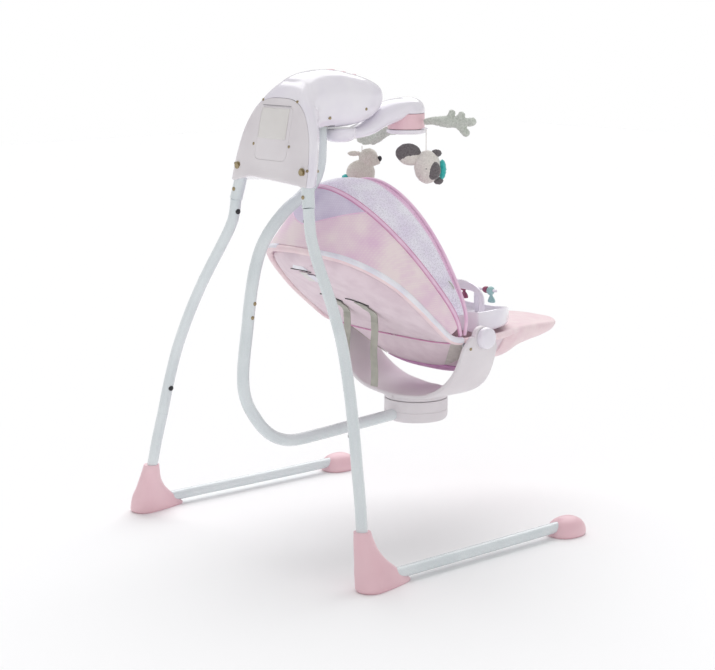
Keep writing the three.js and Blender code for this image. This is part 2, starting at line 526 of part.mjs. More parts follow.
// ---------------------------------------------------------------- play tray
function tray() {
  const outline = (grow, z) => Array.from({ length: 24 }, (_, i) => {
    const t = (2 * Math.PI * i) / 24;
    const [c, s] = [Math.cos(t), Math.sin(t)];
    const y = s > 0 ? 462 + (178 + grow) * power(s, 2.2) : 462 + (14 + grow) * s - 14 * (1 - Math.abs(c)) * s;
    return at((170 + grow) * power(c, 2.4), y, z(s));
  });
  const wall = (s) => 440 - 22 * Math.max(0, s) ** 3;
  const outer = solid(loft([outline(-6, () => 397.5), outline(0, () => 402), outline(1.5, () => 408), outline(0, wall)]));
  const inner = solid(loft([outline(-7, () => 402), outline(-4, (s) => wall(s) + 8)]));
  let body = outer.subtract(inner);
  const arch = new THREE.Shape().moveTo(-88, 401).lineTo(88, 401).lineTo(88, 446);
  arch.bezierCurveTo(86, 478, 40, 482, 0, 482).bezierCurveTo(-40, 482, -86, 478, -88, 446);
  const window = new THREE.Path().moveTo(-76, 412).lineTo(-76, 440);
  window.bezierCurveTo(-74, 460, -36, 463, 0, 463).bezierCurveTo(36, 463, 74, 460, 76, 440).lineTo(76, 412);
  arch.holes.push(window);
  const panel = new THREE.ExtrudeGeometry(arch, { depth: 5, bevelEnabled: false, curveSegments: 5 });
  return body.add(solid(panel.rotateX(Math.PI / 2).translate(0, 562, 0)));
}
piece("tray_body", tray(), WHITE);
const TOY_RAIL = { y: 627, z: 454 };
const post = solid(block(at(-7, TOY_RAIL.y - 3, 402.4), at(7, TOY_RAIL.y + 3, TOY_RAIL.z + 3)));
piece("toy_bar", post.add(solid(rod(at(-58, TOY_RAIL.y, TOY_RAIL.z), at(58, TOY_RAIL.y, TOY_RAIL.z), 3, 10))), WHITE);
for (const [label, side] of SIDES) {
  const x = side * 37;
  const { y, z } = TOY_RAIL;
  const body = solid(ring3(at(x, y, z - 2), [10, 11, 10]));
  const tail = solid(loft([ring(at(x, y + 2, z - 11), X, Y, 6, 5, 8), ring(at(x, y + 3, z - 20), X, Y, 5, 4, 8), ring(at(x, y + 3, z - 28), X, Y, 10, 4, 8)]));
  const bird = body.add(tail).subtract(solid(rod(at(x - 20, y, z), at(x + 20, y, z), 3.4, 10)));
  piece(`bird_toy_${label}`, bird, side < 0 ? MAROON : TEAL);
}

/** An ellipsoid, optionally turned about Z. */
function ring3(centre, radii, turn = 0) {
  const g = new THREE.SphereGeometry(1, 10, 7).scale(...radii).rotateZ(turn);
  return g.translate(centre.x, centre.y, centre.z);
}

// ---------------------------------------------------------------- mobile
function mobileArm() {
  const stations = [[232, 803, 17, 9], [262, 804, 21, 11], [295, 809, 24, 14], [318, 818, 25, 17], [338, 830, 27, 20],
    [360, 839, 30, 23], [385, 846, 33, 22], [416, 853, 36, 16], [440, 853, 30, 12]];
  const rings = stations.map(([y, z, a, b], i) => {
    const [p, q] = [stations[Math.max(0, i - 1)], stations[Math.min(stations.length - 1, i + 1)]];
    const up = at(0, -(q[1] - p[1]), q[0] - p[0]).normalize();
    return ring(at(0, y, z), X, up, a, b, 12, 2.4);
  });
  const bowl = turned(0, MOBILE_Y, [[0, 788.5], [20, 789], [28, 793], [32, 801], [33, 812], [32, 816], [8, 816], [8, 834], [0, 834]], 18);
  const dome = turned(0, HUB_Y, [[0, 870.5], [16, 869], [29, 863], [36.5, 854], [38.5, 844], [38.5, 838], [8, 838], [8, 806], [0, 806]].reverse(), 20);
  const hubSpace = turned(0, HUB_Y, [[0, 780], [41.6, 780], [41.6, 806.2], [38.4, 806.2], [38.4, 838], [0, 838]], 20);
  return largest(solid(loft(rings)).add(solid(bowl)).subtract(solid(hubSpace)).add(solid(dome)));
}
piece("mobile_arm", mobileArm(), WHITE);
piece("mobile_band", turned(0, HUB_Y, [[33, 806.2], [37.8, 806.2], [37.8, 837.6], [33, 837.6], [33, 806.2]], 20), PINK);
piece("mobile_base", turned(0, HUB_Y, [[0, 796], [36, 796], [41, 799], [41, 804], [38, 805.8], [0, 805.8]], 20), WHITE);

const bar = at(Math.cos(BAR_TURN), Math.sin(BAR_TURN), 0);
/** A point on the toy bar's line, r from the hub. */
const onBar = (r, z) => at(0, HUB_Y, z).addScaledVector(bar, r);
/** A plush branch: a stem and three twigs. */
function branch(points, twigs) {
  let body = solid(loft(spread(points)));
  for (const t of twigs) body = body.add(solid(loft(spread(t))));
  return body;
}
/** Rings along a list of [point, radius] entries. */
function spread(entries) {
  return entries.map(([p, r], i) => {
    const [a, b] = [entries[Math.max(0, i - 1)][0], entries[Math.min(entries.length - 1, i + 1)][0]];
    const along = b.clone().sub(a).normalize();
    const u = along.clone().cross(Math.abs(along.z) > 0.9 ? X : Z).normalize();
    return ring(p, u, u.clone().cross(along), r, r, 7);
  });
}
piece("plush_branch_right", branch(
  [[onBar(43.5, 815), 6], [onBar(60, 818), 10], [onBar(90, 820), 9], [onBar(120, 822), 8.5], [onBar(150, 824), 7], [onBar(158, 825), 3]],
  [[[onBar(85, 820), 7], [onBar(96, 834), 7], [onBar(104, 845), 6], [onBar(107, 849), 3]],
    [[onBar(120, 822), 7], [onBar(134, 808), 7], [onBar(146, 800), 6], [onBar(150, 798), 3]]]), PLUSH);
piece("plush_branch_left", branch(
  [[onBar(-24, 788), 6], [onBar(-44, 785), 9], [onBar(-70, 784), 10], [onBar(-100, 778), 9], [onBar(-128, 773), 7], [onBar(-136, 772), 3]],
  [[[onBar(-48, 788), 7], [onBar(-56, 800), 7], [onBar(-62, 812), 6], [onBar(-63, 816), 3]],
    [[onBar(-100, 778), 7], [onBar(-112, 790), 7], [onBar(-122, 798), 6], [onBar(-126, 801), 3]]]), PLUSH);

const DEER_AT = onBar(-108, 0);
let deer = solid(ring3(at(DEER_AT.x - 4, DEER_AT.y - 4, 715), [26, 26, 27])).add(solid(ring3(at(DEER_AT.x + 8, DEER_AT.y + 8, 742), [22, 26, 15], 0.8)));
deer = deer.add(solid(rod(at(DEER_AT.x, DEER_AT.y, 735), at(DEER_AT.x, DEER_AT.y, 765.5), 1.5, 8)));
piece("deer_toy", deer, DEER);
const WHALE_AT = onBar(48, 0);
let whale = solid(ring3(at(WHALE_AT.x + 8, WHALE_AT.y + 9, 733), [42, 24, 27], 0.85)).add(solid(ring3(at(WHALE_AT.x - 20, WHALE_AT.y - 23, 755), [22, 13, 16], 0.85)));
whale = whale.add(solid(rod(at(WHALE_AT.x, WHALE_AT.y, 750), at(WHALE_AT.x, WHALE_AT.y, 806), 1.5, 8)));
piece("whale_toy", whale, WHALE);

export default swing;
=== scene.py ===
"""Looks of a powered baby swing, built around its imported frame.

Sizes are millimetres in the maker's frame: +Z up, +Y towards the foot end, x = 0 the middle plane.
"""

import logging
import math
from collections.abc import Callable, Sequence
from dataclasses import dataclass
from enum import Enum

import bmesh
import bpy
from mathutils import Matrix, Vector, noise


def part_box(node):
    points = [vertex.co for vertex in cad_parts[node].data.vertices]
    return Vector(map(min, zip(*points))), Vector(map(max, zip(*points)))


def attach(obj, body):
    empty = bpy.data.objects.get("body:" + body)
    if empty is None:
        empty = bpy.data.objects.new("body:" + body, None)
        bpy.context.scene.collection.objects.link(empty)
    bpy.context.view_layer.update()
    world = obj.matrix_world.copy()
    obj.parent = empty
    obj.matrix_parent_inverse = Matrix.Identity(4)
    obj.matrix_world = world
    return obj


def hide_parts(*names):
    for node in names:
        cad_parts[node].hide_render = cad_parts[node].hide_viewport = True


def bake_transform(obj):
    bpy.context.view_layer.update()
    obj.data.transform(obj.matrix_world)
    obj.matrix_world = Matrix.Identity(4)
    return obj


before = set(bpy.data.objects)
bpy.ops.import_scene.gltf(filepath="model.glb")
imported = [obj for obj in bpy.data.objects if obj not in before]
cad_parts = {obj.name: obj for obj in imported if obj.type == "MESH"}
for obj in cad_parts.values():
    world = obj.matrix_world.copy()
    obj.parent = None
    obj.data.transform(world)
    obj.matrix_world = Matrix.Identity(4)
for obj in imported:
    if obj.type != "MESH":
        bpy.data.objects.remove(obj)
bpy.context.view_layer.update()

LOG = logging.getLogger("baby_swing")
MM = 0.001
SWIVEL_Y = 448.0  # the seat's vertical axis in the maker's frame
DRUM_LOW, DRUM_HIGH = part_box("swivel_base")
SHIFT_Y = (DRUM_LOW.y + DRUM_HIGH.y) / 2 - SWIVEL_Y * MM
SIDES = (("left", -1), ("right", 1))
X_AXIS, Y_AXIS, Z_AXIS = Vector((1, 0, 0)), Vector((0, 1, 0)), Vector((0, 0, 1))

Pairs = Sequence[tuple[float, float]]


class Thread(Enum):
    """How a cloth is made."""

    WOVEN = "woven"
    MESH = "mesh"
    RIBBED = "ribbed"


# ---------------------------------------------------------------- points and curves
def at(x: float, y: float, z: float) -> Vector:
    """A point of the maker's frame, in metres of the scene."""
    return Vector((x * MM, y * MM + SHIFT_Y, z * MM))


def mirrored(points: Sequence[Sequence[float]], side: int) -> list[Vector]:
    """Points given as (x, y, z), on one side of the middle plane."""
    return [at(side * x, y, z) for x, y, z in points]


def through(points: Sequence[Vector], count: int, loop: bool = False) -> list[Vector]:
    """Samples a centripetal Catmull-Rom curve evenly along its length.

    Args:
        points: the points that it passes through.
        count: how many stretches the result has.
        loop: whether it closes on itself.

    Returns:
        count + 1 points, or count points where it is a loop.
    """
    n = len(points)
    dense: list[Vector] = []
    fine = 14
    for i in range(n if loop else n - 1):
        if loop:
            a, b, c, d = (points[(i + k) % n] for k in (-1, 0, 1, 2))
        else:
            b, c = points[i], points[i + 1]
            a = points[i - 1] if i else b * 2 - c
            d = points[i + 2] if i + 2 < n else c * 2 - b
        d0, d1, d2 = (max(1e-6, (q - p).length ** 0.5) for p, q in ((a, b), (b, c), (c, d)))
        m1 = ((b - a) / d0 - (c - a) / (d0 + d1) + (c - b) / d1) * d1
        m2 = ((c - b) / d1 - (d - b) / (d1 + d2) + (d - c) / d2) * d1
        for k in range(fine):
            t = k / fine
            h = (2 * t**3 - 3 * t**2 + 1, t**3 - 2 * t**2 + t, 3 * t**2 - 2 * t**3, t**3 - t**2)
            dense.append(b * h[0] + m1 * h[1] + c * h[2] + m2 * h[3])
    dense.append(points[0].copy() if loop else points[-1].copy())
    run = [0.0]
    for p, q in zip(dense, dense[1:]):
        run.append(run[-1] + (q - p).length)
    found, k = [], 0
    for i in range(count if loop else count + 1):
        want = run[-1] * i / count
        while k < len(run) - 2 and run[k + 1] < want:
            k += 1
        span = max(1e-9, run[k + 1] - run[k])
        found.append(dense[k].lerp(dense[k + 1], min(1.0, (want - run[k]) / span)))
    return found


def smooth(pairs: Pairs, x: float) -> float:
    """Value at x of a smooth curve through (x, value) pairs.

    Args:
        pairs: (x, value) pairs, in order of x.
        x: where to read the curve.

    Returns:
        The value.
    """
    last = len(pairs) - 1
    i = next((k for k in range(1, last + 1) if pairs[k][0] >= x), last)

    def slope(j: int) -> float:
        """Slope of the curve at a pair."""
        a, b = pairs[max(0, j - 1)], pairs[min(last, j + 1)]
        return (b[1] - a[1]) / (b[0] - a[0])

    (x0, y0), (x1, y1) = pairs[i - 1], pairs[i]
    h = x1 - x0
    t = (x - x0) / h
    ends = (2 * t**3 - 3 * t**2 + 1) * y0 + (3 * t**2 - 2 * t**3) * y1
    return ends + (t**3 - 2 * t**2 + t) * slope(i - 1) * h + (t**3 - t**2) * slope(i) * h


def power(v: float, n: float) -> float:
    """sign(v) * |v|^(2/n), which a superellipse is made of."""
    return math.copysign(abs(v) ** (2 / n), v)


def ring(centre: Vector, u: Vector, w: Vector, a: float, b: float, count: int, n: float = 2) -> list[Vector]:
    """A superellipse with half-sizes a and b in metres along u and w."""
    turns = (2 * math.pi * i / count for i in range(count))
    return [centre + u * (a * power(math.cos(t), n)) + w * (b * power(math.sin(t), n)) for t in turns]


# ---------------------------------------------------------------- meshes
def mesh_piece(name: str, points: Sequence[Vector], faces: Sequence[Sequence[int]],
               sharp: float = 38) -> bpy.types.Object:
    """Makes a smooth-shaded mesh whose edges over sharp degrees stay crisp.

    Args:
        name: the piece's name.
        points: its points.
        faces: its faces, as rows of point numbers.
        sharp: the angle over which an edge stays crisp, in degrees.

    Returns:
        The new piece.
    """
    mesh = bpy.data.meshes.new(name)
    mesh.from_pydata([tuple(p) for p in points], [], [list(f) for f in faces])
    piece = bpy.data.objects.new(name, mesh)
    bpy.context.scene.collection.objects.link(piece)
    tidy_mesh(piece, sharp)
    return piece


def grid(rows: int, columns: int) -> list[tuple[int, int, int, int]]:
    """Faces of a sheet of points laid row by row."""
    wide = columns + 1
    return [(r * wide + k, r * wide + k + 1, (r + 1) * wide + k + 1, (r + 1) * wide + k) for r in range(rows)
            for k in range(columns)]


def tidy_mesh(piece: bpy.types.Object, sharp: float = 38) -> None:
    """Merges doubles, points the faces out and sets smooth and sharp shading.

    Args:
        piece: the piece to change.
        sharp: the angle over which an edge stays crisp, in degrees.
    """
    bm = bmesh.new()
    bm.from_mesh(piece.data)
    bmesh.ops.remove_doubles(bm, verts=bm.verts, dist=1e-6)
    bmesh.ops.recalc_face_normals(bm, faces=bm.faces)
    for face in bm.faces:
        face.smooth = True
    for edge in bm.edges:
        edge.smooth = len(edge.link_faces) != 2 or edge.calc_face_angle(0) < math.radians(sharp)
    bm.to_mesh(piece.data)
    bm.free()


def skin(name: str, rings: Sequence[Sequence[Vector]], loop: bool = False, caps: bool = True,
         sharp: float = 38) -> bpy.types.Object:
    """Skins a row of rings that hold equally many points.

    Args:
        name: the piece's name.
        rings: the rings, in order.
        loop: whether it closes on itself.
        caps: whether its ends are closed.
        sharp: the angle over which an edge stays crisp, in degrees.

    Returns:
        The new piece.
    """
    n = len(rings[0])
    points = [p for r in rings for p in r]
    rows = len(rings) if loop else len(rings) - 1
    faces = []
    for r in range(rows):
        low, high = r * n, ((r + 1) % len(rings)) * n
        faces += [(low + i, low + (i + 1) % n, high + (i + 1) % n, high + i) for i in range(n)]
    if caps and not loop:
        faces.append(tuple(range(n - 1, -1, -1)))
        faces.append(tuple(range(len(points) - n, len(points))))
    return mesh_piece(name, points, faces, sharp)


def along(path: Sequence[Vector], radius: Callable[[float], float], sides: int, loop: bool = False,
          flat: float = 1, up: Vector = Z_AXIS) -> list[list[Vector]]:
    """Rings square to a path.

    Args:
        path: the centreline.
        radius: radius in metres at a share 0 to 1 of the path.
        sides: points in each ring.
        loop: whether the path closes on itself.
        flat: thickness across, as a share of the radius.
        up: the direction that the rings are turned by.

    Returns:
        The rings, in order.
    """
    n, rings = len(path), []
    for i, p in enumerate(path):
        a = path[(i - 1) % n] if loop else path[max(0, i - 1)]
        b = path[(i + 1) % n] if loop else path[min(n - 1, i + 1)]
        t = (b - a).normalized()
        u = t.cross(up)
        u = u.normalized() if u.length > 0.05 else t.cross(X_AXIS).normalized()
        r = radius(i / (n - 1))
        rings.append(ring(p, u, u.cross(t), r, r * flat, sides))
    return rings


def tube(name: str, path: Sequence[Vector], r: float, sides: int = 28, loop: bool = False,
         up: Vector = X_AXIS) -> bpy.types.Object:
    """A round bar of radius r millimetres, with its ends softly rounded.

    Args:
        name: the piece's name.
        path: the centreline.
        r: radius in millimetres.
        sides: points around.
        loop: whether it closes on itself.
        up: the direction that the rings are turned by.

    Returns:
        The new piece.
    """
    if loop:
        return skin(name, along(path, lambda _: r * MM, sides, True, up=up), loop=True)
    rings = along(path, lambda _: r * MM, sides, up=up)
    for end, inner in ((0, 1), (-1, -2)):
        middle = path[end]
        out = (middle - path[inner]).normalized() * 0.8 * MM
        lip = [middle + (p - middle) * (1 - 0.9 / r) + out for p in rings[end]]
        rings = [lip, *rings] if end == 0 else [*rings, lip]
    return skin(name, rings)


def turned(name: str, centre: Vector, profile: Pairs, axis: Vector = Z_AXIS, sides: int = 72,
           sharp: float = 32) -> bpy.types.Object:
    """A turned piece.

    Args:
        name: the piece's name.
        centre: the point that heights are measured from.
        profile: (radius, height) pairs in millimetres, from end to end.
        axis: the direction of the heights.
        sides: points around.
        sharp: the angle over which an edge stays crisp, in degrees.

    Returns:
        The new piece.
    """
    u = axis.cross(Z_AXIS if abs(axis.z) < 0.9 else X_AXIS).normalized()
    w = axis.cross(u)
    rings = [ring(centre + axis * (h * MM), u, w, max(r, 0.01) * MM, max(r, 0.01) * MM, sides) for r,
             h in profile]
    return skin(name, rings, sharp=sharp)


def slab(name: str, centre: Vector, u: Vector, w: Vector, size: tuple[float, float, float], n: float = 5,
         edge: float = 1.2) -> bpy.types.Object:
    """A plate with round corners and soft edges, spanned by u and w, size in millimetres.

    Args:
        name: the piece's name.
        centre: its middle.
        u: the direction of its width.
        w: the direction of its depth.
        size: width, depth and thickness in millimetres.
        n: how square its corners are; 2 is an ellipse.
        edge: how far its edges are rounded, in millimetres.

    Returns:
        The new piece.
    """
    out = u.cross(w).normalized()
    wide, deep, thick = size
    steps = ((-0.5, edge), (-0.5 + edge * 0.4 / thick, edge * 0.35), (-0.5 + edge / thick, 0),
             (0.5 - edge / thick, 0), (0.5 - edge * 0.4 / thick, edge * 0.35), (0.5, edge))
    rings = [ring(centre + out * (share * thick * MM), u, w, (wide / 2 - cut) * MM, (deep / 2 - cut) * MM, 48,
                  n)
             for share, cut in steps]
    return skin(name, rings, sharp=50)


def apply_all(piece: bpy.types.Object) -> bpy.types.Object:
    """Applies every modifier of a piece to its mesh.

    Args:
        piece: the piece to change.

    Returns:
        The same piece.
    """
    bpy.context.view_layer.update()
    seen = piece.evaluated_get(bpy.context.evaluated_depsgraph_get())
    mesh = bpy.data.meshes.new_from_object(seen)
    piece.modifiers.clear()
    piece.data = mesh
    return piece


def modify(piece: bpy.types.Object, kind: str, **settings: object) -> bpy.types.Object:
    """Adds one modifier and applies it.

    Args:
        piece: the piece to change.
        kind: the modifier's kind.
        settings: its settings.

    Returns:
        The same piece.
    """
    modifier = piece.modifiers.new(kind.lower(), kind)
    for key, value in settings.items():
        setattr(modifier, key, value)
    return apply_all(piece)


def join_cut(piece: bpy.types.Object, other: bpy.types.Object, operation: str) -> bpy.types.Object:
    """Joins, cuts or intersects two closed pieces, and removes the second.

    Args:
        piece: the piece to change.
        other: the second piece, which is used up.
        operation: UNION, DIFFERENCE or INTERSECT.

    Returns:
        The first piece.
    """
    modify(piece, "BOOLEAN", operation=operation, object=other, solver="EXACT")
    bpy.data.objects.remove(other)
    return piece


def copied(piece: bpy.types.Object, name: str) -> bpy.types.Object:
    """A copy with a mesh of its own.

    Args:
        piece: the piece to copy.
        name: the copy's name.

    Returns:
        The copy.
    """
    other = piece.copy()
    other.data = piece.data.copy()
    other.name = name
    bpy.context.scene.collection.objects.link(other)
    return other


def melted(piece: bpy.types.Object, voxel: float, rounds: int) -> bpy.types.Object:
    """Remeshes to one skin and softens it, as a moulding's inner corners are."""
    modify(piece, "REMESH", mode="VOXEL", voxel_size=voxel * MM, use_smooth_shade=True)
    return modify(piece, "SMOOTH", factor=0.5, iterations=rounds)


def joined(name: str, parts: Sequence[bpy.types.Object]) -> bpy.types.Object:
    """Several meshes as one object, with no cutting.

    Args:
        name: the piece's name.
        parts: the pieces, which are used up.

    Returns:
        The new piece.
    """
    bm = bmesh.new()
    for part in parts:
        bm.from_mesh(part.data)
    mesh = bpy.data.meshes.new(name)
    bm.to_mesh(mesh)
    bm.free()
    for part in parts:
        bpy.data.objects.remove(part)
    piece = bpy.data.objects.new(name, mesh)
    bpy.context.scene.collection.objects.link(piece)
    return piece


def fuzzed(piece: bpy.types.Object, grain: float, height: float) -> bpy.types.Object:
    """Pushes a mesh in and out by a fixed noise, as the pile of plush does, in millimetres.

    Args:
        piece: the piece to change.
        grain: size of the clumps in millimetres.
        height: how far they stand out, in millimetres.

    Returns:
        The same piece.
    """
    normals = [v.normal.copy() for v in piece.data.vertices]
    for v, normal in zip(piece.data.vertices, normals):
        v.co += normal * (noise.noise(v.co / (grain * MM)) * height * MM)
    return piece


def egg(name: str, centre: Vector, radii: tuple[float, float, float], turn: float = 0,
        segments: int = 40) -> bpy.types.Object:
    """An egg form with half-sizes in millimetres, turned about the vertical by turn radians.

    Args:
        name: the piece's name.
        centre: its middle.
        radii: its half-sizes in millimetres.
        turn: turn about the vertical, in radians.
        segments: points around.

    Returns:
        The new piece.
    """
    u = Vector((math.cos(turn), math.sin(turn), 0))
    w = Vector((-math.sin(turn), math.cos(turn), 0))
    rows = segments // 2
    rings = []
    for i in range(rows + 1):
        t = math.pi * (i / rows - 0.5)
        c = max(0.004, math.cos(t))
        rings.append(ring(centre + Z_AXIS * (radii[2] * math.sin(t) * MM), u, w, radii[0] * c * MM,
                          radii[1] * c * MM, segments))
    return skin(name, rings, sharp=180)


def settle(piece: bpy.types.Object, dress: bpy.types.Material, body: str, slot: str,
           *nodes: str) -> bpy.types.Object:
    """Gives a piece its finish, its body and the CAD nodes that it stands for.

    Args:
        piece: the piece to dress.
        dress: its finish.
        body: the body that it rides on.
        slot: its paint slot; not used.
        nodes: the CAD nodes that it stands for.

    Returns:
        The same piece.
    """
    piece.data.materials.clear()
    piece.data.materials.append(dress)
    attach(piece, body)
    if nodes:
        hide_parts(*nodes)
    LOG.info("%s rides on %s", piece.name, body)
    return piece


# ---------------------------------------------------------------- finishes
def linear(colour: str, alpha: float = 1) -> tuple[float, float, float, float]:
    """An sRGB hex colour as linear values.

    Args:
        colour: the colour, as # and six digits.
        alpha: its opacity.

    Returns:
        Red, green, blue and opacity.
    """
    parts = (int(colour[i:i + 2], 16) / 255 for i in (1, 3, 5))
    r, g, b = (c / 12.92 if c <= 0.04045 else ((c + 0.055) / 1.055) ** 2.4 for c in parts)
    return r, g, b, alpha


def add_node(material: bpy.types.Material, kind: str, inputs: dict | None = None,
             **settings: object) -> bpy.types.Node:
    """Adds a shader node, sets it, and links or fills its inputs.

    Args:
        material: the material that it belongs to.
        kind: the node's kind.
        inputs: a value or a socket for each input.
        settings: its settings.

    Returns:
        The node.
    """
    made = material.node_tree.nodes.new(kind)
    for key, value in settings.items():
        setattr(made, key, value)
    for key, value in (inputs or {}).items():
        if isinstance(value, bpy.types.NodeSocket):
            material.node_tree.links.new(value, made.inputs[key])
        else:
            made.inputs[key].default_value = value
    return made


def blank(name: str) -> tuple[bpy.types.Material, bpy.types.Node]:
    """A new node material and its Principled shader.

    Args:
        name: the material's name.

    Returns:
        The material and its shader.
    """
    material = bpy.data.materials.new(name)
    material.use_nodes = True
    return material, material.node_tree.nodes["Principled BSDF"]


def link(material: bpy.types.Material, source: bpy.types.NodeSocket, shader: bpy.types.Node,
         key: str) -> None:
    """Links a socket to an input of the shader."""
    material.node_tree.links.new(source, shader.inputs[key])


def two_tones(material: bpy.types.Material, factor: bpy.types.NodeSocket, low: str,
              high: str) -> bpy.types.NodeSocket:
    """A colour between two hex tones, by a 0 to 1 factor.

    Args:
        material: the material that it belongs to.
        factor: the 0 to 1 factor.
        low: the tone at 0.
        high: the tone at 1.

    Returns:
        The socket that holds the colour.
    """
    ramp = add_node(material, "ShaderNodeValToRGB", {"Fac": factor})
    ramp.color_ramp.elements[0].position, ramp.color_ramp.elements[1].position = 0.3, 0.7
    ramp.color_ramp.elements[0].color, ramp.color_ramp.elements[1].color = linear(low), linear(high)
    return ramp.outputs["Color"]


@dataclass(frozen=True)
class Plastic:
    """Moulded plastic: a tone that drifts a little and the grain of the mould's steel."""

    name: str
    colour: str
    shade: str
    roughness: float
    grain_mm: float
    depth: float
    coat: float = 0.0

    def make(self) -> bpy.types.Material:
        """Builds the material.

        Returns:
            The finished material.
        """
        material, shader = blank(self.name)
        place = add_node(material, "ShaderNodeTexCoord").outputs["Object"]
        flow = add_node(material, "ShaderNodeTexNoise",
                        {"Vector": place, "Scale": 1 / (90 * MM), "Detail": 2.0})
        link(material, two_tones(material, flow.outputs["Fac"], self.shade, self.colour), shader,
             "Base Color")
        grain = add_node(material, "ShaderNodeTexNoise",
                         {"Vector": place, "Scale": 1 / (self.grain_mm * MM), "Detail": 3.0})
        wear = add_node(material, "ShaderNodeMapRange",
                        {"Value": grain.outputs["Fac"], "To Min": self.roughness * 0.85,
                                                         "To Max": self.roughness * 1.15})
        link(material, wear.outputs["Result"], shader, "Roughness")
        bump = add_node(material, "ShaderNodeBump",
                        {"Height": grain.outputs["Fac"], "Strength": self.depth, "Distance": 0.2 * MM})
        link(material, bump.outputs["Normal"], shader, "Normal")
        # ABS, polypropylene, polystyrene and powder coat lie between 1.49 and 1.59.
        shader.inputs["IOR"].default_value = 1.53
        shader.inputs["Coat Weight"].default_value = self.coat
        shader.inputs["Coat Roughness"].default_value = 0.08
        return material


@dataclass(frozen=True)
class Metal:
    """Plated or wound metal with fine rolling marks."""

    name: str
    colour: str
    shade: str
    roughness: float

    def make(self) -> bpy.types.Material:
        """Builds the material.

        Returns:
            The finished material.
        """
        material, shader = blank(self.name)
        place = add_node(material, "ShaderNodeTexCoord").outputs["Object"]
        marks = add_node(material, "ShaderNodeTexNoise",
                         {"Vector": place, "Scale": 1 / (0.8 * MM), "Detail": 4.0})
        link(material, two_tones(material, marks.outputs["Fac"], self.shade, self.colour), shader,
             "Base Color")
        bump = add_node(material, "ShaderNodeBump",
                        {"Height": marks.outputs["Fac"], "Strength": 0.15, "Distance": 0.1 * MM})
        link(material, bump.outputs["Normal"], shader, "Normal")
        shader.inputs["Metallic"].default_value = 1
        shader.inputs["Roughness"].default_value = self.roughness
        return material


@dataclass(frozen=True)
class Cloth:
    """Textile: threads at a real pitch, a soft sheen, slight unevenness and, on some, a second zone."""

    name: str
    colour: str
    shade: str
    pitch_mm: float
    thread: Thread = Thread.WOVEN
    alpha: float = 1.0
    sheen: float = 0.25
    depth: float = 0.5
    zone: tuple[str, str] = ()
    blotch_mm: float = 35

    def make(self) -> bpy.types.Material:
        """Builds the material.

        Returns:
            The finished material.
        """
        material, shader = blank(self.name)
        place = add_node(material, "ShaderNodeTexCoord").outputs["Object"]
        weave = self.threads(material, place)
        drift = add_node(material, "ShaderNodeTexNoise",
                         {"Vector": place, "Scale": 1 / (self.blotch_mm * MM), "Detail": 3.0}).outputs["Fac"]
        both = add_node(material, "ShaderNodeMath", {0: weave, 1: 0.12, 2: drift},
                        operation="MULTIPLY_ADD").outputs["Value"]
        colour = two_tones(material, both, self.shade, self.colour)
        if self.zone:
            place = add_node(material, "ShaderNodeAttribute", attribute_name="zone").outputs["Fac"]
            other = two_tones(material, both, *self.zone)
            colour = add_node(material, "ShaderNodeMix", {0: place, 6: colour, 7: other},
                              data_type="RGBA").outputs[2]
        link(material, colour, shader, "Base Color")
        bump = add_node(material, "ShaderNodeBump",
                        {"Height": weave, "Strength": self.depth, "Distance": 0.3 * MM})
        link(material, bump.outputs["Normal"], shader, "Normal")
        shader.inputs["Roughness"].default_value = 0.88
        shader.inputs["Sheen Weight"].default_value = self.sheen
        if self.thread is Thread.MESH:
            holes = add_node(material, "ShaderNodeMapRange",
                             {"Value": weave, "From Max": 0.6, "To Min": self.alpha - 0.18,
                              "To Max": self.alpha + 0.12})
            link(material, holes.outputs["Result"], shader, "Alpha")
        else:
            shader.inputs["Alpha"].default_value = self.alpha
        return material

    def threads(self, material: bpy.types.Material, place: bpy.types.NodeSocket) -> bpy.types.NodeSocket:
        """Height of the threads: cells in a knit, ribs in webbing, crossings in a weave.

        Args:
            material: the material that it belongs to.
            place: the socket that gives the place.

        Returns:
            The socket that holds the height.
        """
        if self.thread is Thread.MESH:
            return add_node(material, "ShaderNodeTexVoronoi",
                            {"Vector": place, "Scale": 1 / (self.pitch_mm * MM)}).outputs["Distance"]
        # A wave texture has 20 / (2 pi) bands in each unit at scale 1, which this turns to one band a thread.
        scale = 2 * math.pi / 20 / (self.pitch_mm * MM)
        ways = ("Y", "Y") if self.thread is Thread.RIBBED else ("X", "Z")
        waves = [add_node(material, "ShaderNodeTexWave",
                          {"Vector": place, "Scale": scale, "Distortion": 1.5, "Detail Scale": 3.0},
                          bands_direction=way).outputs["Fac"] for way in ways]
        return add_node(material, "ShaderNodeMath", {0: waves[0], 1: waves[1]},
                        operation="MULTIPLY").outputs["Value"]


@dataclass(frozen=True)
class Plush:
    """Short pile fabric: clumped tufts that catch light at their tips."""

    name: str
    colour: str
    shade: str
    tuft_mm: float = 3.0

    def make(self) -> bpy.types.Material:
        """Builds the material.

        Returns:
            The finished material.
        """
        material, shader = blank(self.name)
        place = add_node(material, "ShaderNodeTexCoord").outputs["Object"]
        tuft = add_node(material, "ShaderNodeTexNoise",
                        {"Vector": place, "Scale": 1 / (self.tuft_mm * MM), "Detail": 6.0}).outputs["Fac"]
        link(material, two_tones(material, tuft, self.shade, self.colour), shader, "Base Color")
        bump = add_node(material, "ShaderNodeBump", {"Height": tuft, "Strength": 0.8, "Distance": 0.8 * MM})
        link(material, bump.outputs["Normal"], shader, "Normal")
        shader.inputs["Roughness"].default_value = 0.95
        shader.inputs["Sheen Weight"].default_value = 0.6
        return material


# Gloss ABS keeps soft highlights; spark-eroded ABS scatters them.
GLOSS_ABS = Plastic("gloss_abs", "#F3F0F6", "#EAE5F0", 0.2, 3, 0.05, 0.5).make()
SATIN_ABS = Plastic("satin_abs", "#E9E4E7", "#E0DADE", 0.42, 0.9, 0.2).make()
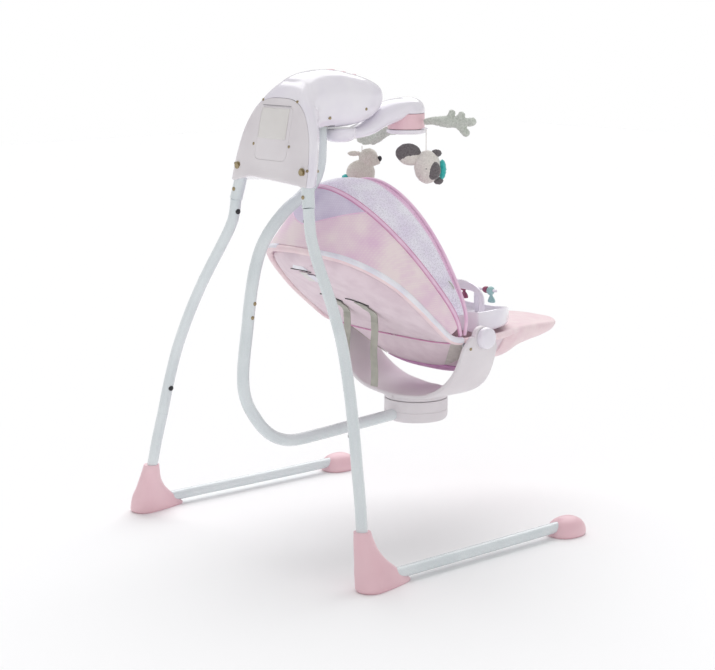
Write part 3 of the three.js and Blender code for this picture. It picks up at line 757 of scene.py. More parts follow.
# Powder coat has a faint orange peel about 1.5 mm across.
POWDER_COAT = Plastic("powder_coat", "#E4EAEC", "#D8DFE2", 0.27, 1.5, 0.12, 0.3).make()
PINK_PP = Plastic("pink_polypropylene", "#F0CCD3", "#E8BFC8", 0.36, 1.0, 0.18).make()
BLACK_ABS = Plastic("black_abs", "#2A2A2E", "#202024", 0.45, 1.0, 0.15).make()
# A flat grey for the thin line along the label's top edge: the painted shadow of that edge in its slot.
SLOT_SHADOW_GREY = Plastic("painted_slot_shadow", "#8C888E", "#7A767D", 0.6, 1.0, 0.1).make()
BOARD = Plastic("circuit_board", "#2F7A4B", "#276B41", 0.5, 2.0, 0.1).make()
LABEL = Plastic("blank_label", "#E7E4E2", "#DCD8D6", 0.55, 1.2, 0.05).make()
MAROON_PS = Plastic("maroon_polystyrene", "#A0506F", "#8C4060", 0.3, 2.0, 0.05, 0.3).make()
TEAL_PS = Plastic("teal_polystyrene", "#AFD2D1", "#9CC4C4", 0.3, 2.0, 0.05, 0.3).make()
# Zinc plate passivated yellow reads as dull brass; a plain clip is bright nickel.
ZINC = Metal("yellow_zinc_plate", "#B9A987", "#8F8166", 0.36).make()
NICKEL = Metal("nickel_plate", "#C9CBCF", "#9EA1A6", 0.25).make()
COPPER = Metal("enamelled_copper", "#B06A38", "#8C4F26", 0.4).make()
# Real threads are near 0.4 mm; they are drawn coarser so that they show.
SEAT_CLOTH = Cloth("pale_seat_polyester", "#EAD8E0", "#DDC8D2", 2.2).make()
SEAT_INNER = Cloth("pink_seat_polyester", "#F6E2E4", "#EFD3DA", 2.2).make()
# Painted shade: a deeper magenta standing in for the seat bottom's underside in shade, with light showing
# through the cloth.
SEAT_PAINTED_SHADE = Cloth("magenta_painted_shade", "#DDA3D2", "#C982BC", 2.2).make()
SIDE_WEB = Cloth("grey_side_web", "#D5CFCA", "#BFB8B2", 2.6, blotch_mm=14, depth=0.8).make()
RIM_BINDING = Cloth("white_binding", "#F3F2F8", "#E4E2EE", 1.6, depth=0.7).make()
# The rear cloth is a sheer pink that pales to a lilac window in its middle.
CANOPY_CLOTH = Cloth("sheer_pink_polyester", "#FAEAEB", "#EDCAE2", 4.2, alpha=0.88, depth=0.12,
                     zone=("#CFC0DC", "#E9E2F2"), blotch_mm=70).make()
# The knit has cells near 3 mm and a dyed casing along the front hoop.
CANOPY_MESH = Cloth("white_knit_mesh", "#F3F1FA", "#E6DCF0", 3.0, Thread.MESH, 0.74,
                    zone=("#E3A9D2", "#EDC3E2"), blotch_mm=45).make()
PINK_CASING = Cloth("pink_casing", "#F1D2E6", "#E8BEDB", 1.6, depth=0.6).make()
PINK_BINDING = Cloth("pink_binding", "#DDA0C4", "#CF89B3", 1.4, depth=0.7).make()
WEBBING = Cloth("woven_webbing", "#B7B6AC", "#A09F95", 1.6, Thread.RIBBED, depth=0.9).make()
GREY_PLUSH = Plush("grey_plush", "#D6DAD2", "#B4BAB0").make()
BEIGE_PLUSH = Plush("beige_plush", "#DDD7CF", "#C8C1B7").make()
DARK_PLUSH = Plush("dark_plush", "#7B7678", "#5C5759").make()
WHITE_PLUSH = Plush("white_plush", "#ECE7E1", "#D8D2CB").make()
TEAL_PLUSH = Plush("teal_plush", "#3FC8C4", "#25A6A3", 2.0).make()


# ---------------------------------------------------------------- stand
@dataclass
class Stand:
    """Two bent legs with base tubes, feet and spring buttons."""

    stub: tuple = ((111.2, 60.9, 679), (106.8, 64, 700), (102.4, 67, 722), (99.4, 69.3, 738),
                   (98.4, 70.4, 744))
    leg: tuple = ((111.5, 60.8, 677.6), (113.9, 60.3, 660), (118, 58.8, 640), (125.9, 55.9, 620),
                  (149.9, 50.5, 580),
                  (176.7, 45.9, 540), (202.6, 42, 500), (235.4, 35.5, 440), (267.9, 25.1, 360),
                  (290.9, 17.1, 280),
                  (304.6, 12, 220.7))
    base: tuple = ((304.8, 11.9, 219.9), (319.7, 6, 160), (331.8, 0.6, 100), (340, -2, 66), (349, 2, 37),
                   (356, 22, 22),
                   (358, 60, 20), (357, 160, 20), (354, 330, 20), (351.3, 511, 20.5))
    leg_r: float = 11
    stub_r: float = 12.5

    def build(self) -> None:
        """Builds both sides."""
        for label, side in SIDES:
            for name, points, count, r, node in (("stub_tube", self.stub, 24, self.stub_r, "leg_stub"),
                                                 ("bent_leg", self.leg, 90, self.leg_r, "leg_tube"),
                                                 ("bent_base", self.base, 110, self.leg_r, "base_tube")):
                bar = tube(f"{name}_{label}", through(mirrored(points, side), count), r, 36)
                settle(bar, POWDER_COAT, "stand", "tube_enamel", f"{node}_{label}")
            self.corner_foot(label, side)
            self.end_foot(label, side)
            self.screw(f"stub_screw_{label}", at(side * 106.4, 51.2, 699.3))
            for place, x, y, z in (("upper", 115, 59.8, 654), ("lower", 291.9, 16.8, 275)):
                profile = [(0, -2), (5.4, -2), (5.4, 1.4), (4.6, 2.3), (2.5, 2.9), (0, 3)]
                button = turned(f"{place}_snap_button_{label}", at(side * (x - self.leg_r + 0.4), y, z),
                                profile, X_AXIS * -side, 32)
                settle(button, BLACK_ABS, f"{place}_lock_button_{label}", "dark_plastic",
                       f"{place}_lock_button_{label}")

    def screw(self, name: str, centre: Vector, axis: Vector = -Y_AXIS, r: float = 4) -> None:
        """A domed screw head."""
        head = turned(name, centre, [(0, -1), (r, -1), (r, 0.4), (r * 0.8, 1.4), (r * 0.4, 1.9), (0, 2)],
                      axis, 24)
        settle(head, ZINC, "stand", "steel")

    def corner_foot(self, label: str, side: int) -> None:
        """Heel, ankle sleeve and a wedge under the base tube.

        Args:
            label: left or right.
            side: -1 on the left and 1 on the right.
        """
        rows = ((0, 358, 24, 26, 27, 95), (4, 358, 26, 28, 31, 97), (9, 358, 27, 29, 31, 90),
                (34, 353, 26, 28, 29, 60),
                (52, 347, 22, 24, 25, 40), (72, 341, 19, 20, 22, 26), (92, 335.5, 16.5, 17, 18.5, 19),
                (106, 332.5, 15, 15, 16, 16))
        columns = [[(row[0], row[k]) for row in rows] for k in range(1, 6)]
        rings = []
        for step in range(37):
            z = 106 * step / 36
            x, inner, outer, heel, tip = (smooth(c, z) for c in columns)
            points = []
            for i in range(64):
                t = 2 * math.pi * i / 64
                c, s = math.cos(t), math.sin(t)
                thin = 1 - 0.42 * s * min(1, max(0, (tip - 20) / 60)) if s > 0 else 1
                points.append(at(side * (x + (outer if c > 0 else inner) * power(c, 2.3) * thin),
                                 (tip if s > 0 else heel) * power(s, 2.1), z))
            rings.append(points)
        foot = skin(f"corner_shoe_{label}", rings, sharp=60)
        settle(foot, PINK_PP, "stand", "pink_plastic", f"corner_foot_{label}")

    def end_foot(self, label: str, side: int) -> None:
        """A low rounded shoe on the end of the base tube.

        Args:
            label: left or right.
            side: -1 on the left and 1 on the right.
        """
        rows = ((0, 31, 39), (3, 33, 41.5), (12, 33, 41.5), (22, 30, 38), (30, 24, 31), (36, 14, 19),
                (38.5, 5, 8))
        wide, deep = ([(row[0], row[k]) for row in rows] for k in (1, 2))
        heights = [38.5 * math.sin(math.pi / 2 * i / 24) for i in range(25)]
        rings = [ring(at(side * 352, 537, z), X_AXIS, Y_AXIS, smooth(wide, z) * MM, smooth(deep, z) * MM, 64,
                      2.3) for z in heights]
        foot = skin(f"end_shoe_{label}", rings, sharp=60)
        settle(foot, PINK_PP, "stand", "pink_plastic", f"end_foot_{label}")


# ---------------------------------------------------------------- housing
@dataclass
class Housing:
    """The moulded drive housing: a column that flows into a forward nose."""

    rear_face: tuple = ((716, 47), (746, 53), (785, 61), (818, 68), (854, 76), (880, 86), (897, 98),
                        (911, 114), (922, 134), (930, 158))
    half_width: tuple = ((716, 119), (746, 117), (785, 111), (818, 102), (854, 82), (880, 60), (897, 47),
                         (911, 34), (922, 18), (930, 4))
    nose_top: tuple = ((84, 872), (100, 893), (122, 919), (163, 930.5), (211, 931), (250, 924), (290, 914),
                       (318, 902), (332, 890), (339, 872))
    nose_bottom: tuple = ((84, 770), (100, 786), (122, 802), (150, 815), (200, 818), (250, 820.5), (290, 829),
                          (318, 845), (332, 857), (339, 866))
    nose_width: tuple = ((84, 78), (100, 70), (122, 60), (150, 51), (200, 48), (250, 48), (290, 44),
                         (318, 34), (332, 20), (339, 3))
    seam: tuple = (54.0, 722.0, 0.2013)  # the seam plane's y and z, and its lean in radians
    gap: float = 0.14  # half the groove between the seam's two sides
    wall: float = 2.6
    bottom: float = 716
    column_top: float = 920
    depths: tuple = (69.0, 16.0)  # before and behind the widest section
    inlet: tuple = (-60.0, 762.0, 6.6)  # x, z and radius of its hole

    def rear_y(self, x: float, z: float) -> float:
        """Depth of the rear face at x and z."""
        share = min(0.99, abs(x) / smooth(self.half_width, z)) ** 1.6
        return smooth(self.rear_face, z) + self.depths[1] * (1 - power(math.sqrt(1 - share * share), 4.5))

    def column_rings(self) -> list[list[Vector]]:
        """Rings of the column, with an arch over the legs at the bottom.

        Returns:
            The rings, from the bottom up.
        """
        rings = []
        for step in range(45):
            z = self.bottom + (self.column_top - self.bottom) * step / 44
            back, wide = smooth(self.rear_face, z), smooth(self.half_width, z)
            before, behind = self.depths
            front = max(32, before - max(0, z - 860) * 0.5)
            points = []
            for i in range(112):
                t = 2 * math.pi * i / 112
                c, s = math.cos(t), math.sin(t)
                x = wide * power(c, 1.5 if s > 0 else 3.2)
                y = back + behind + (front * power(s, 1.5) if s > 0 else behind * power(s, 4.5))
                lift = 15 * (1 - min(1, abs(x) / 96) ** 4) * max(0, 1 - (z - self.bottom) / 30)
                points.append(at(x, y, z + lift))
            rings.append(points)
        return rings

    def nose_rings(self) -> list[list[Vector]]:
        """Rings of the nose.

        Returns:
            The rings, from the column to the tip.
        """
        rings = []
        for step in range(57):
            y = 84 + 255 * step / 56
            top, low = smooth(self.nose_top, y), smooth(self.nose_bottom, y)
            half = max(2, (top - low) / 2)
            rings.append(ring(at(0, y, (top + low) / 2), X_AXIS, Z_AXIS,
                              max(2, smooth(self.nose_width, y)) * MM, half * MM, 84, 2.5))
        return rings

    def half(self, whole: bpy.types.Object, name: str, front: bool) -> bpy.types.Object:
        """One side of the seam as a shell with a wall.

        Args:
            whole: the closed form.
            name: the piece's name.
            front: whether it is the part before the seam.

        Returns:
            The shell.
        """
        piece = copied(whole, name)
        y, z, lean = self.seam
        normal = Vector((0, math.cos(lean), -math.sin(lean)))
        bm = bmesh.new()
        bm.from_mesh(piece.data)
        geometry = [*bm.verts, *bm.edges, *bm.faces]
        groove = normal * ((self.gap if front else -self.gap) * MM)
        bmesh.ops.bisect_plane(bm, geom=geometry, plane_co=at(0, y, z) + groove, plane_no=normal,
                               clear_inner=front, clear_outer=not front)
        bm.to_mesh(piece.data)
        bm.free()
        return modify(piece, "SOLIDIFY", thickness=self.wall * MM, offset=-1, use_even_offset=True)

    def build(self) -> None:
        """Builds the shell, rear cover, door, label, buttons and screws."""
        whole = skin("housing_form", self.column_rings(), sharp=180)
        whole = join_cut(whole, skin("nose_form", self.nose_rings(), sharp=180), "UNION")
        whole = melted(whole, 2.4, 6)
        shell = self.half(whole, "housing_front", True)
        cover = self.half(whole, "housing_rear", False)
        bpy.data.objects.remove(whole)
        join_cut(shell, slab("arm_slot", at(0, 186, 806), X_AXIS, Y_AXIS, (56, 37, 52), 6), "DIFFERENCE")
        x, z, r = self.inlet
        join_cut(shell, turned("inlet_hole", at(x, 90, z), [(0, 0), (r, 0), (r, 60), (0, 60)], Y_AXIS, 32),
                 "DIFFERENCE")
        lean = self.seam[2]
        slope = Vector((0, math.sin(lean), math.cos(lean)))
        door_at = at(0, 69, 813)
        door = copied(cover, "housing_door")
        join_cut(cover, slab("door_hole", door_at, X_AXIS, slope, (96.8, 104.8, 60), 9), "DIFFERENCE")
        join_cut(door, slab("door_block", door_at, X_AXIS, slope, (96, 104, 60), 9), "INTERSECT")
        for piece in (shell, cover, door):
            tidy_mesh(piece, 40)
        settle(shell, GLOSS_ABS, "stand", "white_plastic", "housing_shell")
        settle(cover, SATIN_ABS, "stand", "panel_plastic", "rear_cover")
        settle(door, SATIN_ABS, "stand", "panel_plastic", "battery_door")
        outward = Vector((0, -math.cos(lean), math.sin(lean)))
        rows, columns = 24, 24
        face = [at(-46 + 84 * k / columns, self.rear_y(-46 + 84 * k / columns, 803 + 58 * r / rows) - 0.35,
                   803 + 58 * r / rows)
                for r in range(rows + 1) for k in range(columns + 1)]
        label = modify(mesh_piece("blank_rating_label", face, grid(rows, columns), 60), "SOLIDIFY",
                       thickness=0.5 * MM, offset=0)
        settle(label, LABEL, "stand", "panel_plastic")
        # A thin grey tube along the label's top edge: a painted shadow line where the real cover has only
        # shade.
        slit = [at(x, self.rear_y(x, 866) - 0.1, 866) for x in range(-46, 41, 4)]
        settle(tube("label_shadow_line", slit, 0.6, 10, up=Z_AXIS), SLOT_SHADOW_GREY, "stand", "panel_plastic")
        self.fasteners(outward)
        for name, y in (("power", 212), ("speed", 240), ("music", 268)):
            top = smooth(self.nose_top, y)
            profile = [(0, -6), (8.8, -6), (8.8, -0.3), (8.2, 0.5), (6, 1), (3, 0.6), (0, 0.4)]
            button = turned(f"{name}_key", at(0, y, top), profile, sides=40)
            settle(button, PINK_PP, f"{name}_button", "pink_plastic", f"{name}_button")

    def fasteners(self, outward: Vector) -> None:
        """Case screws and the two big leg bolts.

        Args:
            outward: the direction that the screws face.
        """
        spots = ((-54, 875), (50, 875), (-56, 791), (52, 791), (110, 749), (-110, 749))
        for i, (x, z) in enumerate(spots):
            head = turned(f"case_screw_{i}", at(x, self.rear_y(x, z), z),
                          [(0, -1.5), (3, -1.5), (3, 0.5), (2, 1.2), (0, 1.4)], outward, 20)
            settle(head, ZINC, "stand", "steel")
        for i, (x, y, z) in enumerate(((44.6, 172.7, 840.3), (45.6, 266, 854))):
            for label, side in SIDES:
                head = turned(f"nose_screw_{i}_{label}", at(side * x, y, z),
                              [(0, -2), (3, -2), (3, 0.5), (2, 1.2), (0, 1.4)], X_AXIS * side, 20)
                settle(head, ZINC, "stand", "steel")
        for label, side in SIDES:
            profile = [(3, -40), (3, -0.4), (8.4, -0.4), (8.4, 0.6), (6.2, 0.8), (6.2, 3.2), (5, 4.2),
                       (2.6, 3.9), (0, 3.9)]
            bolt = turned(f"leg_bolt_{label}", at(side * 97.9, self.rear_y(97.9, 745.7), 745.7), profile,
                          -Y_AXIS, 30)
            settle(bolt, ZINC, "stand", "steel", f"housing_bolt_{label}")


# ---------------------------------------------------------------- swing arm and cradle
@dataclass
class Arm:
    """The curved arm in two tubes, with the swivel drum at its end."""

    upper: tuple = ((0, 187, 840.5), (0, 187, 806), (0, 186, 775), (0, 183, 745), (0, 168, 713),
                    (0, 132, 684), (0, 102, 666),
                    (0, 76, 645), (0, 52, 620), (0, 34, 593), (0, 20, 557), (0, 11, 521), (0, 4, 481),
                    (0, -1, 443.3))
    lower: tuple = ((0, -1.1, 442.7), (0, -8, 399), (0, -13, 356), (0, -11.5, 318), (0, -2, 289),
                    (0, 14, 263), (0, 35, 237),
                    (0, 60, 217), (0, 88, 205), (0, 114, 200.5), (0, 182, 202), (0, 252, 205.5),
                    (0, 318, 209), (0, 396, 213))
    r: float = 12
    drum_r: float = 67

    def build(self) -> None:
        """Builds the tubes, the drum and the joint's screws."""
        for part, points, count in (("upper", self.upper, 120), ("lower", self.lower, 150)):
            bar = tube(f"arm_{part}", through(mirrored(points, 1), count), self.r, 36)
            settle(bar, POWDER_COAT, "swing_arm", "tube_enamel", f"{part}_arm_tube")
        r = self.drum_r
        profile = [(0, 198), (10, 196), (58, 196), (62, 197.2), (65, 199.5), (66.6, 204), (r, 210), (r, 217),
                   (r - 1.2, 218),
                   (r - 1.2, 219.4), (r, 220.4), (r, 240.6), (r - 1, 241.8), (0, 242)]
        drum = turned("swivel_drum", at(0, SWIVEL_Y, 0), profile, sides=112)
        settle(drum, SATIN_ABS, "swing_arm", "panel_plastic", "swivel_base")
        for i, (x, y, z) in enumerate(((11.2, 2.4, 462.1), (11.2, 8.2, 489))):
            head = turned(f"arm_screw_{i}", at(x, y, z), [(0, -1), (4, -1), (4, 0.8), (2.6, 1.8), (0, 2)],
                          X_AXIS, 24)
            settle(head, ZINC, "swing_arm", "steel")


@dataclass
class Cradle:
    """The yoke that carries the seat on two pivots."""

    middle: tuple = ((0, 447, 254), (50, 447, 257), (100, 446, 266), (141, 444, 288), (170, 441, 318),
                     (188, 438, 350),
                     (198, 437, 380), (200, 439, 400))
    half: tuple = ((0, 66), (60, 66), (105, 64), (141, 60), (170, 54), (188, 50), (198, 47), (200, 44))
    pivot: tuple = (440.0, 396.0)

    def build(self) -> None:
        """Builds the yoke with its disc and end bosses, and the caps."""
        points = [*reversed(mirrored(self.middle, -1)[1:]), *mirrored(self.middle, 1)]
        path = through(points, 90)
        rings = []
        for i, p in enumerate(path):
            t = (path[min(90, i + 1)] - path[max(0, i - 1)]).normalized()
            out = Vector((-t.z, 0, t.x)).normalized()
            ease = min(1, min(i, 90 - i) / 5)
            wide = smooth(self.half, min(200, abs(p.x) / MM)) * (0.72 + 0.28 * math.sin(ease * math.pi / 2))
            rings.append(ring(p, Y_AXIS, out, wide * MM, 6 * MM, 48, 5))
        yoke = skin("yoke_form", rings, sharp=60)
        disc = turned("yoke_disc", at(0, SWIVEL_Y, 0),
                      [(0, 243.2), (65.6, 243.2), (67, 244.4), (67, 255), (65, 258), (60, 260), (0, 260)],
                      sides=112)
        yoke = join_cut(yoke, disc, "UNION")
        y, z = self.pivot
        for _, side in SIDES:
            boss = turned("yoke_boss", at(side * 194.2, y, z),
                          [(0, 0), (24, 0), (24, 10.4), (22.8, 11.6), (0, 11.6)], X_AXIS * side, sides=72)
            yoke = join_cut(yoke, boss, "UNION")
        tidy_mesh(yoke, 40)
        yoke.name = "yoke_cradle"
        settle(yoke, SATIN_ABS, "cradle", "panel_plastic", "seat_yoke")
        for label, side in SIDES:
            profile = [(0, 0), (22, 0), (22, 8), (21.2, 10.6), (19.5, 12.5), (16, 14), (12, 15), (6, 15.5),
                       (0, 15.6)]
            cap = turned(f"round_cap_{label}", at(side * 206.2, y + 3, z), profile, X_AXIS * side, 64)
            settle(cap, GLOSS_ABS, "cradle", "white_plastic", f"pivot_cap_{label}")
            profile = [(0, -1), (3.2, -1), (3.2, 0.6), (2.2, 1.3), (0, 1.5)]
            settle(turned(f"yoke_screw_{label}", at(side * 203.6, 406, 377), profile, X_AXIS * side, 20),
                   ZINC, "cradle", "steel")


# ---------------------------------------------------------------- seat
RECLINE_X = 184
RIM = ((0, 121, 582), (60, 127, 580), (113, 148, 571), (154, 183, 549), (180, 225, 517), (191, 270, 477),
       (190, 320, 434),
       (186, 368, 398), (RECLINE_X, 404, 390.5), (RECLINE_X, 440, 390), (183, 480, 388), (170, 530, 386),
       (148, 580, 384),
       (125, 630, 381), (110, 690, 377), (100, 740, 374), (76, 785, 371), (40, 809, 370), (0, 816, 369))
UNDER = ((132, 552), (180, 517), (230, 485), (276, 454), (330, 419), (385, 382), (410, 350), (440, 322),
         (480, 302), (530, 295),
         (580, 301), (620, 315), (660, 327), (720, 337), (810, 350))


@dataclass
class Seat:
    """A tube rim in bound fabric with slung fabric dishes, straps and sewn details."""

    rim_r: float = 7
    strap_x: float = 42
    foot_start: float = 566  # the wedge is tucked in behind the front seam

    def surface(self, u: float, y: float, roll: float) -> Vector:
        """A point of the slung fabric's underside, u from -1 at one rim to 1 at the other.

        Args:
            u: -1 at one rim to 1 at the other.
            y: its place along the seat.
            roll: how late the panel rolls up to the rim.

        Returns:
            The point.
        """
        halves = [(p[1], p[0]) for p in RIM[1:]]
        slope = smooth(halves, y + 1) - smooth(halves, y)
        wide = smooth(halves, y) - (self.rim_r + 2.5) * math.hypot(1, slope)
        top = smooth([(p[1], p[2]) for p in RIM], y) - 4
        low = smooth(UNDER, y)
        return at(u * wide, y, low + (top - low) * abs(u) ** roll)

    def dish(self, name: str, start: float, end: float, roll: float) -> bpy.types.Object:
        """A slung fabric panel, padded 6 mm thick.

        Args:
            name: the piece's name.
            start: y where it starts.
            end: y where it ends.
            roll: how late the panel rolls up to the rim.

        Returns:
            The panel.
        """
        rows, columns = 44, 56
        points = [self.surface(-1 + 2 * k / columns, start + (end - start) * r / rows, roll)
                  for r in range(rows + 1) for k in range(columns + 1)]
        panel = mesh_piece(name, points, grid(rows, columns), 180)
        self.face_down(panel)
        return modify(panel, "SOLIDIFY", thickness=6 * MM, offset=-1)

    def under(self, u: float, y: float, proud: float, roll: float = 4) -> Vector:
        """A point that stands proud of the underside by some millimetres.

        Args:
            u: -1 at one rim to 1 at the other.
            y: its place along the seat.
            proud: how far it stands off the fabric.
            roll: how late the panel rolls up to the rim.

        Returns:
            The point.
        """
        spot = self.surface(u, y, roll)
        side = self.surface(u + 0.01, y, roll) if u < 0.9 else spot * 2 - self.surface(u - 0.01, y, roll)
        out = (side - spot).cross(self.surface(u, y + 1, roll) - spot).normalized()
        return spot + out * (proud * MM * (-1 if out.z > 0 else 1))

    def patch(self, name: str, rows_at: tuple[float, float], first: tuple[float, float],
              last: tuple[float, float],
              proud: float, thick: float = 1.0, roll: float = 4) -> bpy.types.Object:
        """A sewn piece that lies on the underside.

        Args:
            name: the piece's name.
            rows_at: y where it starts and ends.
            first: u at its two sides where it starts.
            last: u at its two sides where it ends.
            proud: how far it stands off the fabric.
            thick: its thickness.
            roll: the roll of the panel that it lies on.

        Returns:
            The sewn piece.
        """
        rows, columns, points = 18, 22, []
        for r in range(rows + 1):
            t = r / rows
            low, high = (a + (b - a) * t for a, b in zip(first, last))
            y = rows_at[0] + (rows_at[1] - rows_at[0]) * t
            points += [self.under(low + (high - low) * k / columns, y, proud, roll)
                       for k in range(columns + 1)]
        panel = mesh_piece(name, points, grid(rows, columns), 180)
        self.face_down(panel)
        return modify(panel, "SOLIDIFY", thickness=thick * MM, offset=0)

    def head_wall(self) -> bpy.types.Object:
        """The soft end of the seat, from the rim at the head down to the slung back.

        Returns:
            The panel.
        """
        rows, columns, points = 14, 48, []
        depths, heights = ([(p[0], p[k]) for p in RIM[:4]] for k in (1, 2))
        for r in range(rows + 1):
            t = r / rows
            for k in range(columns + 1):
                u = -1 + 2 * k / columns
                low = self.surface(u, 133.4, 4)
                x = low.x / MM
                top = at(x, smooth(depths, abs(x)) - 1, smooth(heights, abs(x)) + 1)
                bulge = 8 * math.sin(math.pi * t) * (1 - u * u)
                points.append(top.lerp(low, t) - Vector((0, 1, 0.5)) * (bulge * MM))
        return modify(mesh_piece("soft_head_end", points, grid(rows, columns), 180), "SOLIDIFY",
                      thickness=4 * MM, offset=0)

    def foot_pad(self) -> bpy.types.Object:
        """The footrest: one stuffed wedge sewn around the rim, thick at the seat and thin at its end.

        Returns:
            The wedge.
        """
        halves, tops = [(p[1], p[0]) for p in RIM[1:]], [(p[1], p[2]) for p in RIM]
        last, rings = 808.0, []
        for i in range(65):
            t = i / 64
            y = self.foot_start + (last - self.foot_start) * math.sin(math.pi / 2 * t) ** 0.9
            rise = min(1, 0.86 + 0.14 * math.sin(math.pi / 2 * min(1, t * 8)))
            ease = rise * math.sqrt(max(0.002, 1 - max(0, (t - 0.8) / 0.2) ** 2.4))
            wide = smooth(halves, min(y, 800)) + 7
            top, low = smooth(tops, y) + 8.5, smooth(UNDER, y) + (3 if y < 602 else 0)
            points = []
            for k in range(72):
                a = 2 * math.pi * k / 72
                c, s = math.cos(a), math.sin(a)
                middle = smooth(tops, y)
                height = (top - middle) if s > 0 else (middle - low)
                points.append(at(wide * ease * power(c, 2.6), y, middle + height * ease * power(s, 2.2)))
            rings.append(points)
        return skin("stuffed_footrest", rings, sharp=180)

    @staticmethod
    def face_down(panel: bpy.types.Object) -> None:
        """Turns an open panel's faces so that they look down."""
        if sum(f.normal.z * f.area for f in panel.data.polygons) > 0:
            panel.data.flip_normals()

    def build(self) -> None:
        """Builds the rim, the slung panels, the head end, the footrest and what is sewn on them."""
        loop = [*mirrored(RIM, 1), *reversed(mirrored(RIM, -1)[1:-1])]
        path = through(loop, 300, True)
        rim = tube("cloth_rim", path, self.rim_r, 22, True, Z_AXIS)
        settle(rim, SEAT_INNER, "seat", "seat_fabric", "rim_frame")
        for label, side in SIDES:
            outside = Vector((side * 2.0, 0, 2.4)) * MM
            sleeve = [p + outside for p in path if p.x * side > 0.055 and p.y < at(0, 399, 0).y]
            settle(tube(f"white_sleeve_{label}", sleeve, self.rim_r - 0.4, 24, up=Z_AXIS), RIM_BINDING,
                   "seat", "seat_fabric")
            clip = slab(f"rim_clip_{label}", at(side * 190, 401, 381), Y_AXIS, Z_AXIS, (9, 15, 2.4), 5, 0.5)
            settle(clip, NICKEL, "seat", "steel")
        for name, node, start, end, roll in (("slung_back", "seat_back", 133, 384.8, 4),
                                             ("slung_bottom", "seat_bottom", 385, 600.4, 3.4)):
            panel = self.dish(name, start, end, roll)
            settle(panel, SEAT_CLOTH, "seat", "seat_fabric", node)
        wall = self.head_wall()
        settle(wall, SEAT_CLOTH, "seat", "seat_fabric")
        foot = self.foot_pad()
        settle(foot, SEAT_INNER, "seat", "seat_fabric", "footrest")
        for name, y, roll in (("back_seam", 384.9, 4), ("front_seam", 600.4, 3.4)):
            line = through([self.surface(-0.99 + 1.98 * k / 24, y, roll) - Z_AXIS * MM for k in range(25)],
                           90)
            settle(tube(name, line, 1.5, 10), PINK_BINDING, "seat", "piping")
        self.sewn()

    def sewn(self) -> None:
        """The head pocket, blank tags, harness slots, side webs, a magenta patch of painted shade and straps.
        """
        sewn = ((self.patch("head_pocket", (126, 147), (-0.46, 0.08), (-0.44, 0.06), 1.0, 2.0), RIM_BINDING),
                (self.patch("blank_tag_wide", (156, 187), (-0.28, -0.06), (-0.25, -0.05), 1.6, 0.8), LABEL),
                (self.patch("blank_tag_long", (160, 194), (-0.09, 0.1), (-0.06, 0.12), 2.6, 0.8),
                 RIM_BINDING),
                # A patch of painted shade: deeper magenta under the seat bottom, where its underside is in
                # shade.
                (self.patch("magenta_shade_patch", (449, 512), (-0.5, 0.5), (-0.8, 0.8), 1.2, 1.4, 3.4),
                 SEAT_PAINTED_SHADE))
        for piece, cloth in sewn:
            settle(piece, cloth, "seat", "seat_fabric")
        line = through([self.under(u, 148.5 + 5 * (u + 0.2) ** 2 * 8, 2.0)
                        for u in (-0.5, -0.4, -0.3, -0.2, -0.1, 0.0, 0.1)], 50)
        settle(tube("pocket_slit", line, 1.0, 10), BLACK_ABS, "seat", "dark_plastic")
        for label, side in SIDES:
            web = self.patch(f"side_web_{label}", (389, 446), (side * 0.95, side * 0.975),
                             (side * 0.5, side * 0.975), 1.2, 1.4, 3.4)
            settle(web, SIDE_WEB, "seat", "seat_fabric")
            u = side * self.strap_x / 190
            arc = through([self.under(u + a, 246 + 60 * (a + 0.16) ** 2 * 4, 1.6)
                           for a in (-0.19, -0.13, -0.07, -0.01, 0.05, 0.1)], 40)
            settle(tube(f"harness_slit_{label}", arc, 1.1, 10), BLACK_ABS, "seat", "dark_plastic")
            elastic = self.patch(f"slit_elastic_{label}", (255, 284), (u - 0.1, u + 0.02),
                                 (u - 0.05, u + 0.06), 1.8, 1.2)
            settle(elastic, WEBBING, "seat", "webbing")
            self.strap(label)
            x = side * self.strap_x
            lead = through([self.under(u + 0.01, 262, 2.4), self.under(u, 274, 3.4), at(x, 286, 444),
                            at(x, 291, 436), at(x, 291.4, 424)], 18)
            rings = [[p + Vector((a * 10, b * 0.7, b * 0.5)) * MM for a,
                      b in ((-1, -1), (1, -1), (1, 1), (-1, 1))] for p in lead]
            settle(skin(f"strap_lead_{label}", rings, sharp=30), WEBBING, "seat", "webbing")

    def strap(self, label: str) -> None:
        """A webbing tail that hangs from its slot, 20 mm wide.

        Args:
            label: left or right.
        """
        low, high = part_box(f"harness_strap_{label}")
        centre = (low + high) / 2
        length = high.z - low.z
        line = [centre + Vector((0, 1.5 * MM * math.sin(3 * math.pi * t / 20), (0.5 - t / 20) * length))
                for t in range(21)]
        half_width, half_thick = (high.x - low.x) / 2, 0.7 * MM
        rings = [[p + Vector((a * half_width, b * half_thick, 0)) for a,
                  b in ((-1, -1), (1, -1), (1, 1), (-1, 1))] for p in line]
        strap = skin(f"webbing_tail_{label}", rings, sharp=30)
        settle(strap, WEBBING, "seat", "webbing", f"harness_strap_{label}")


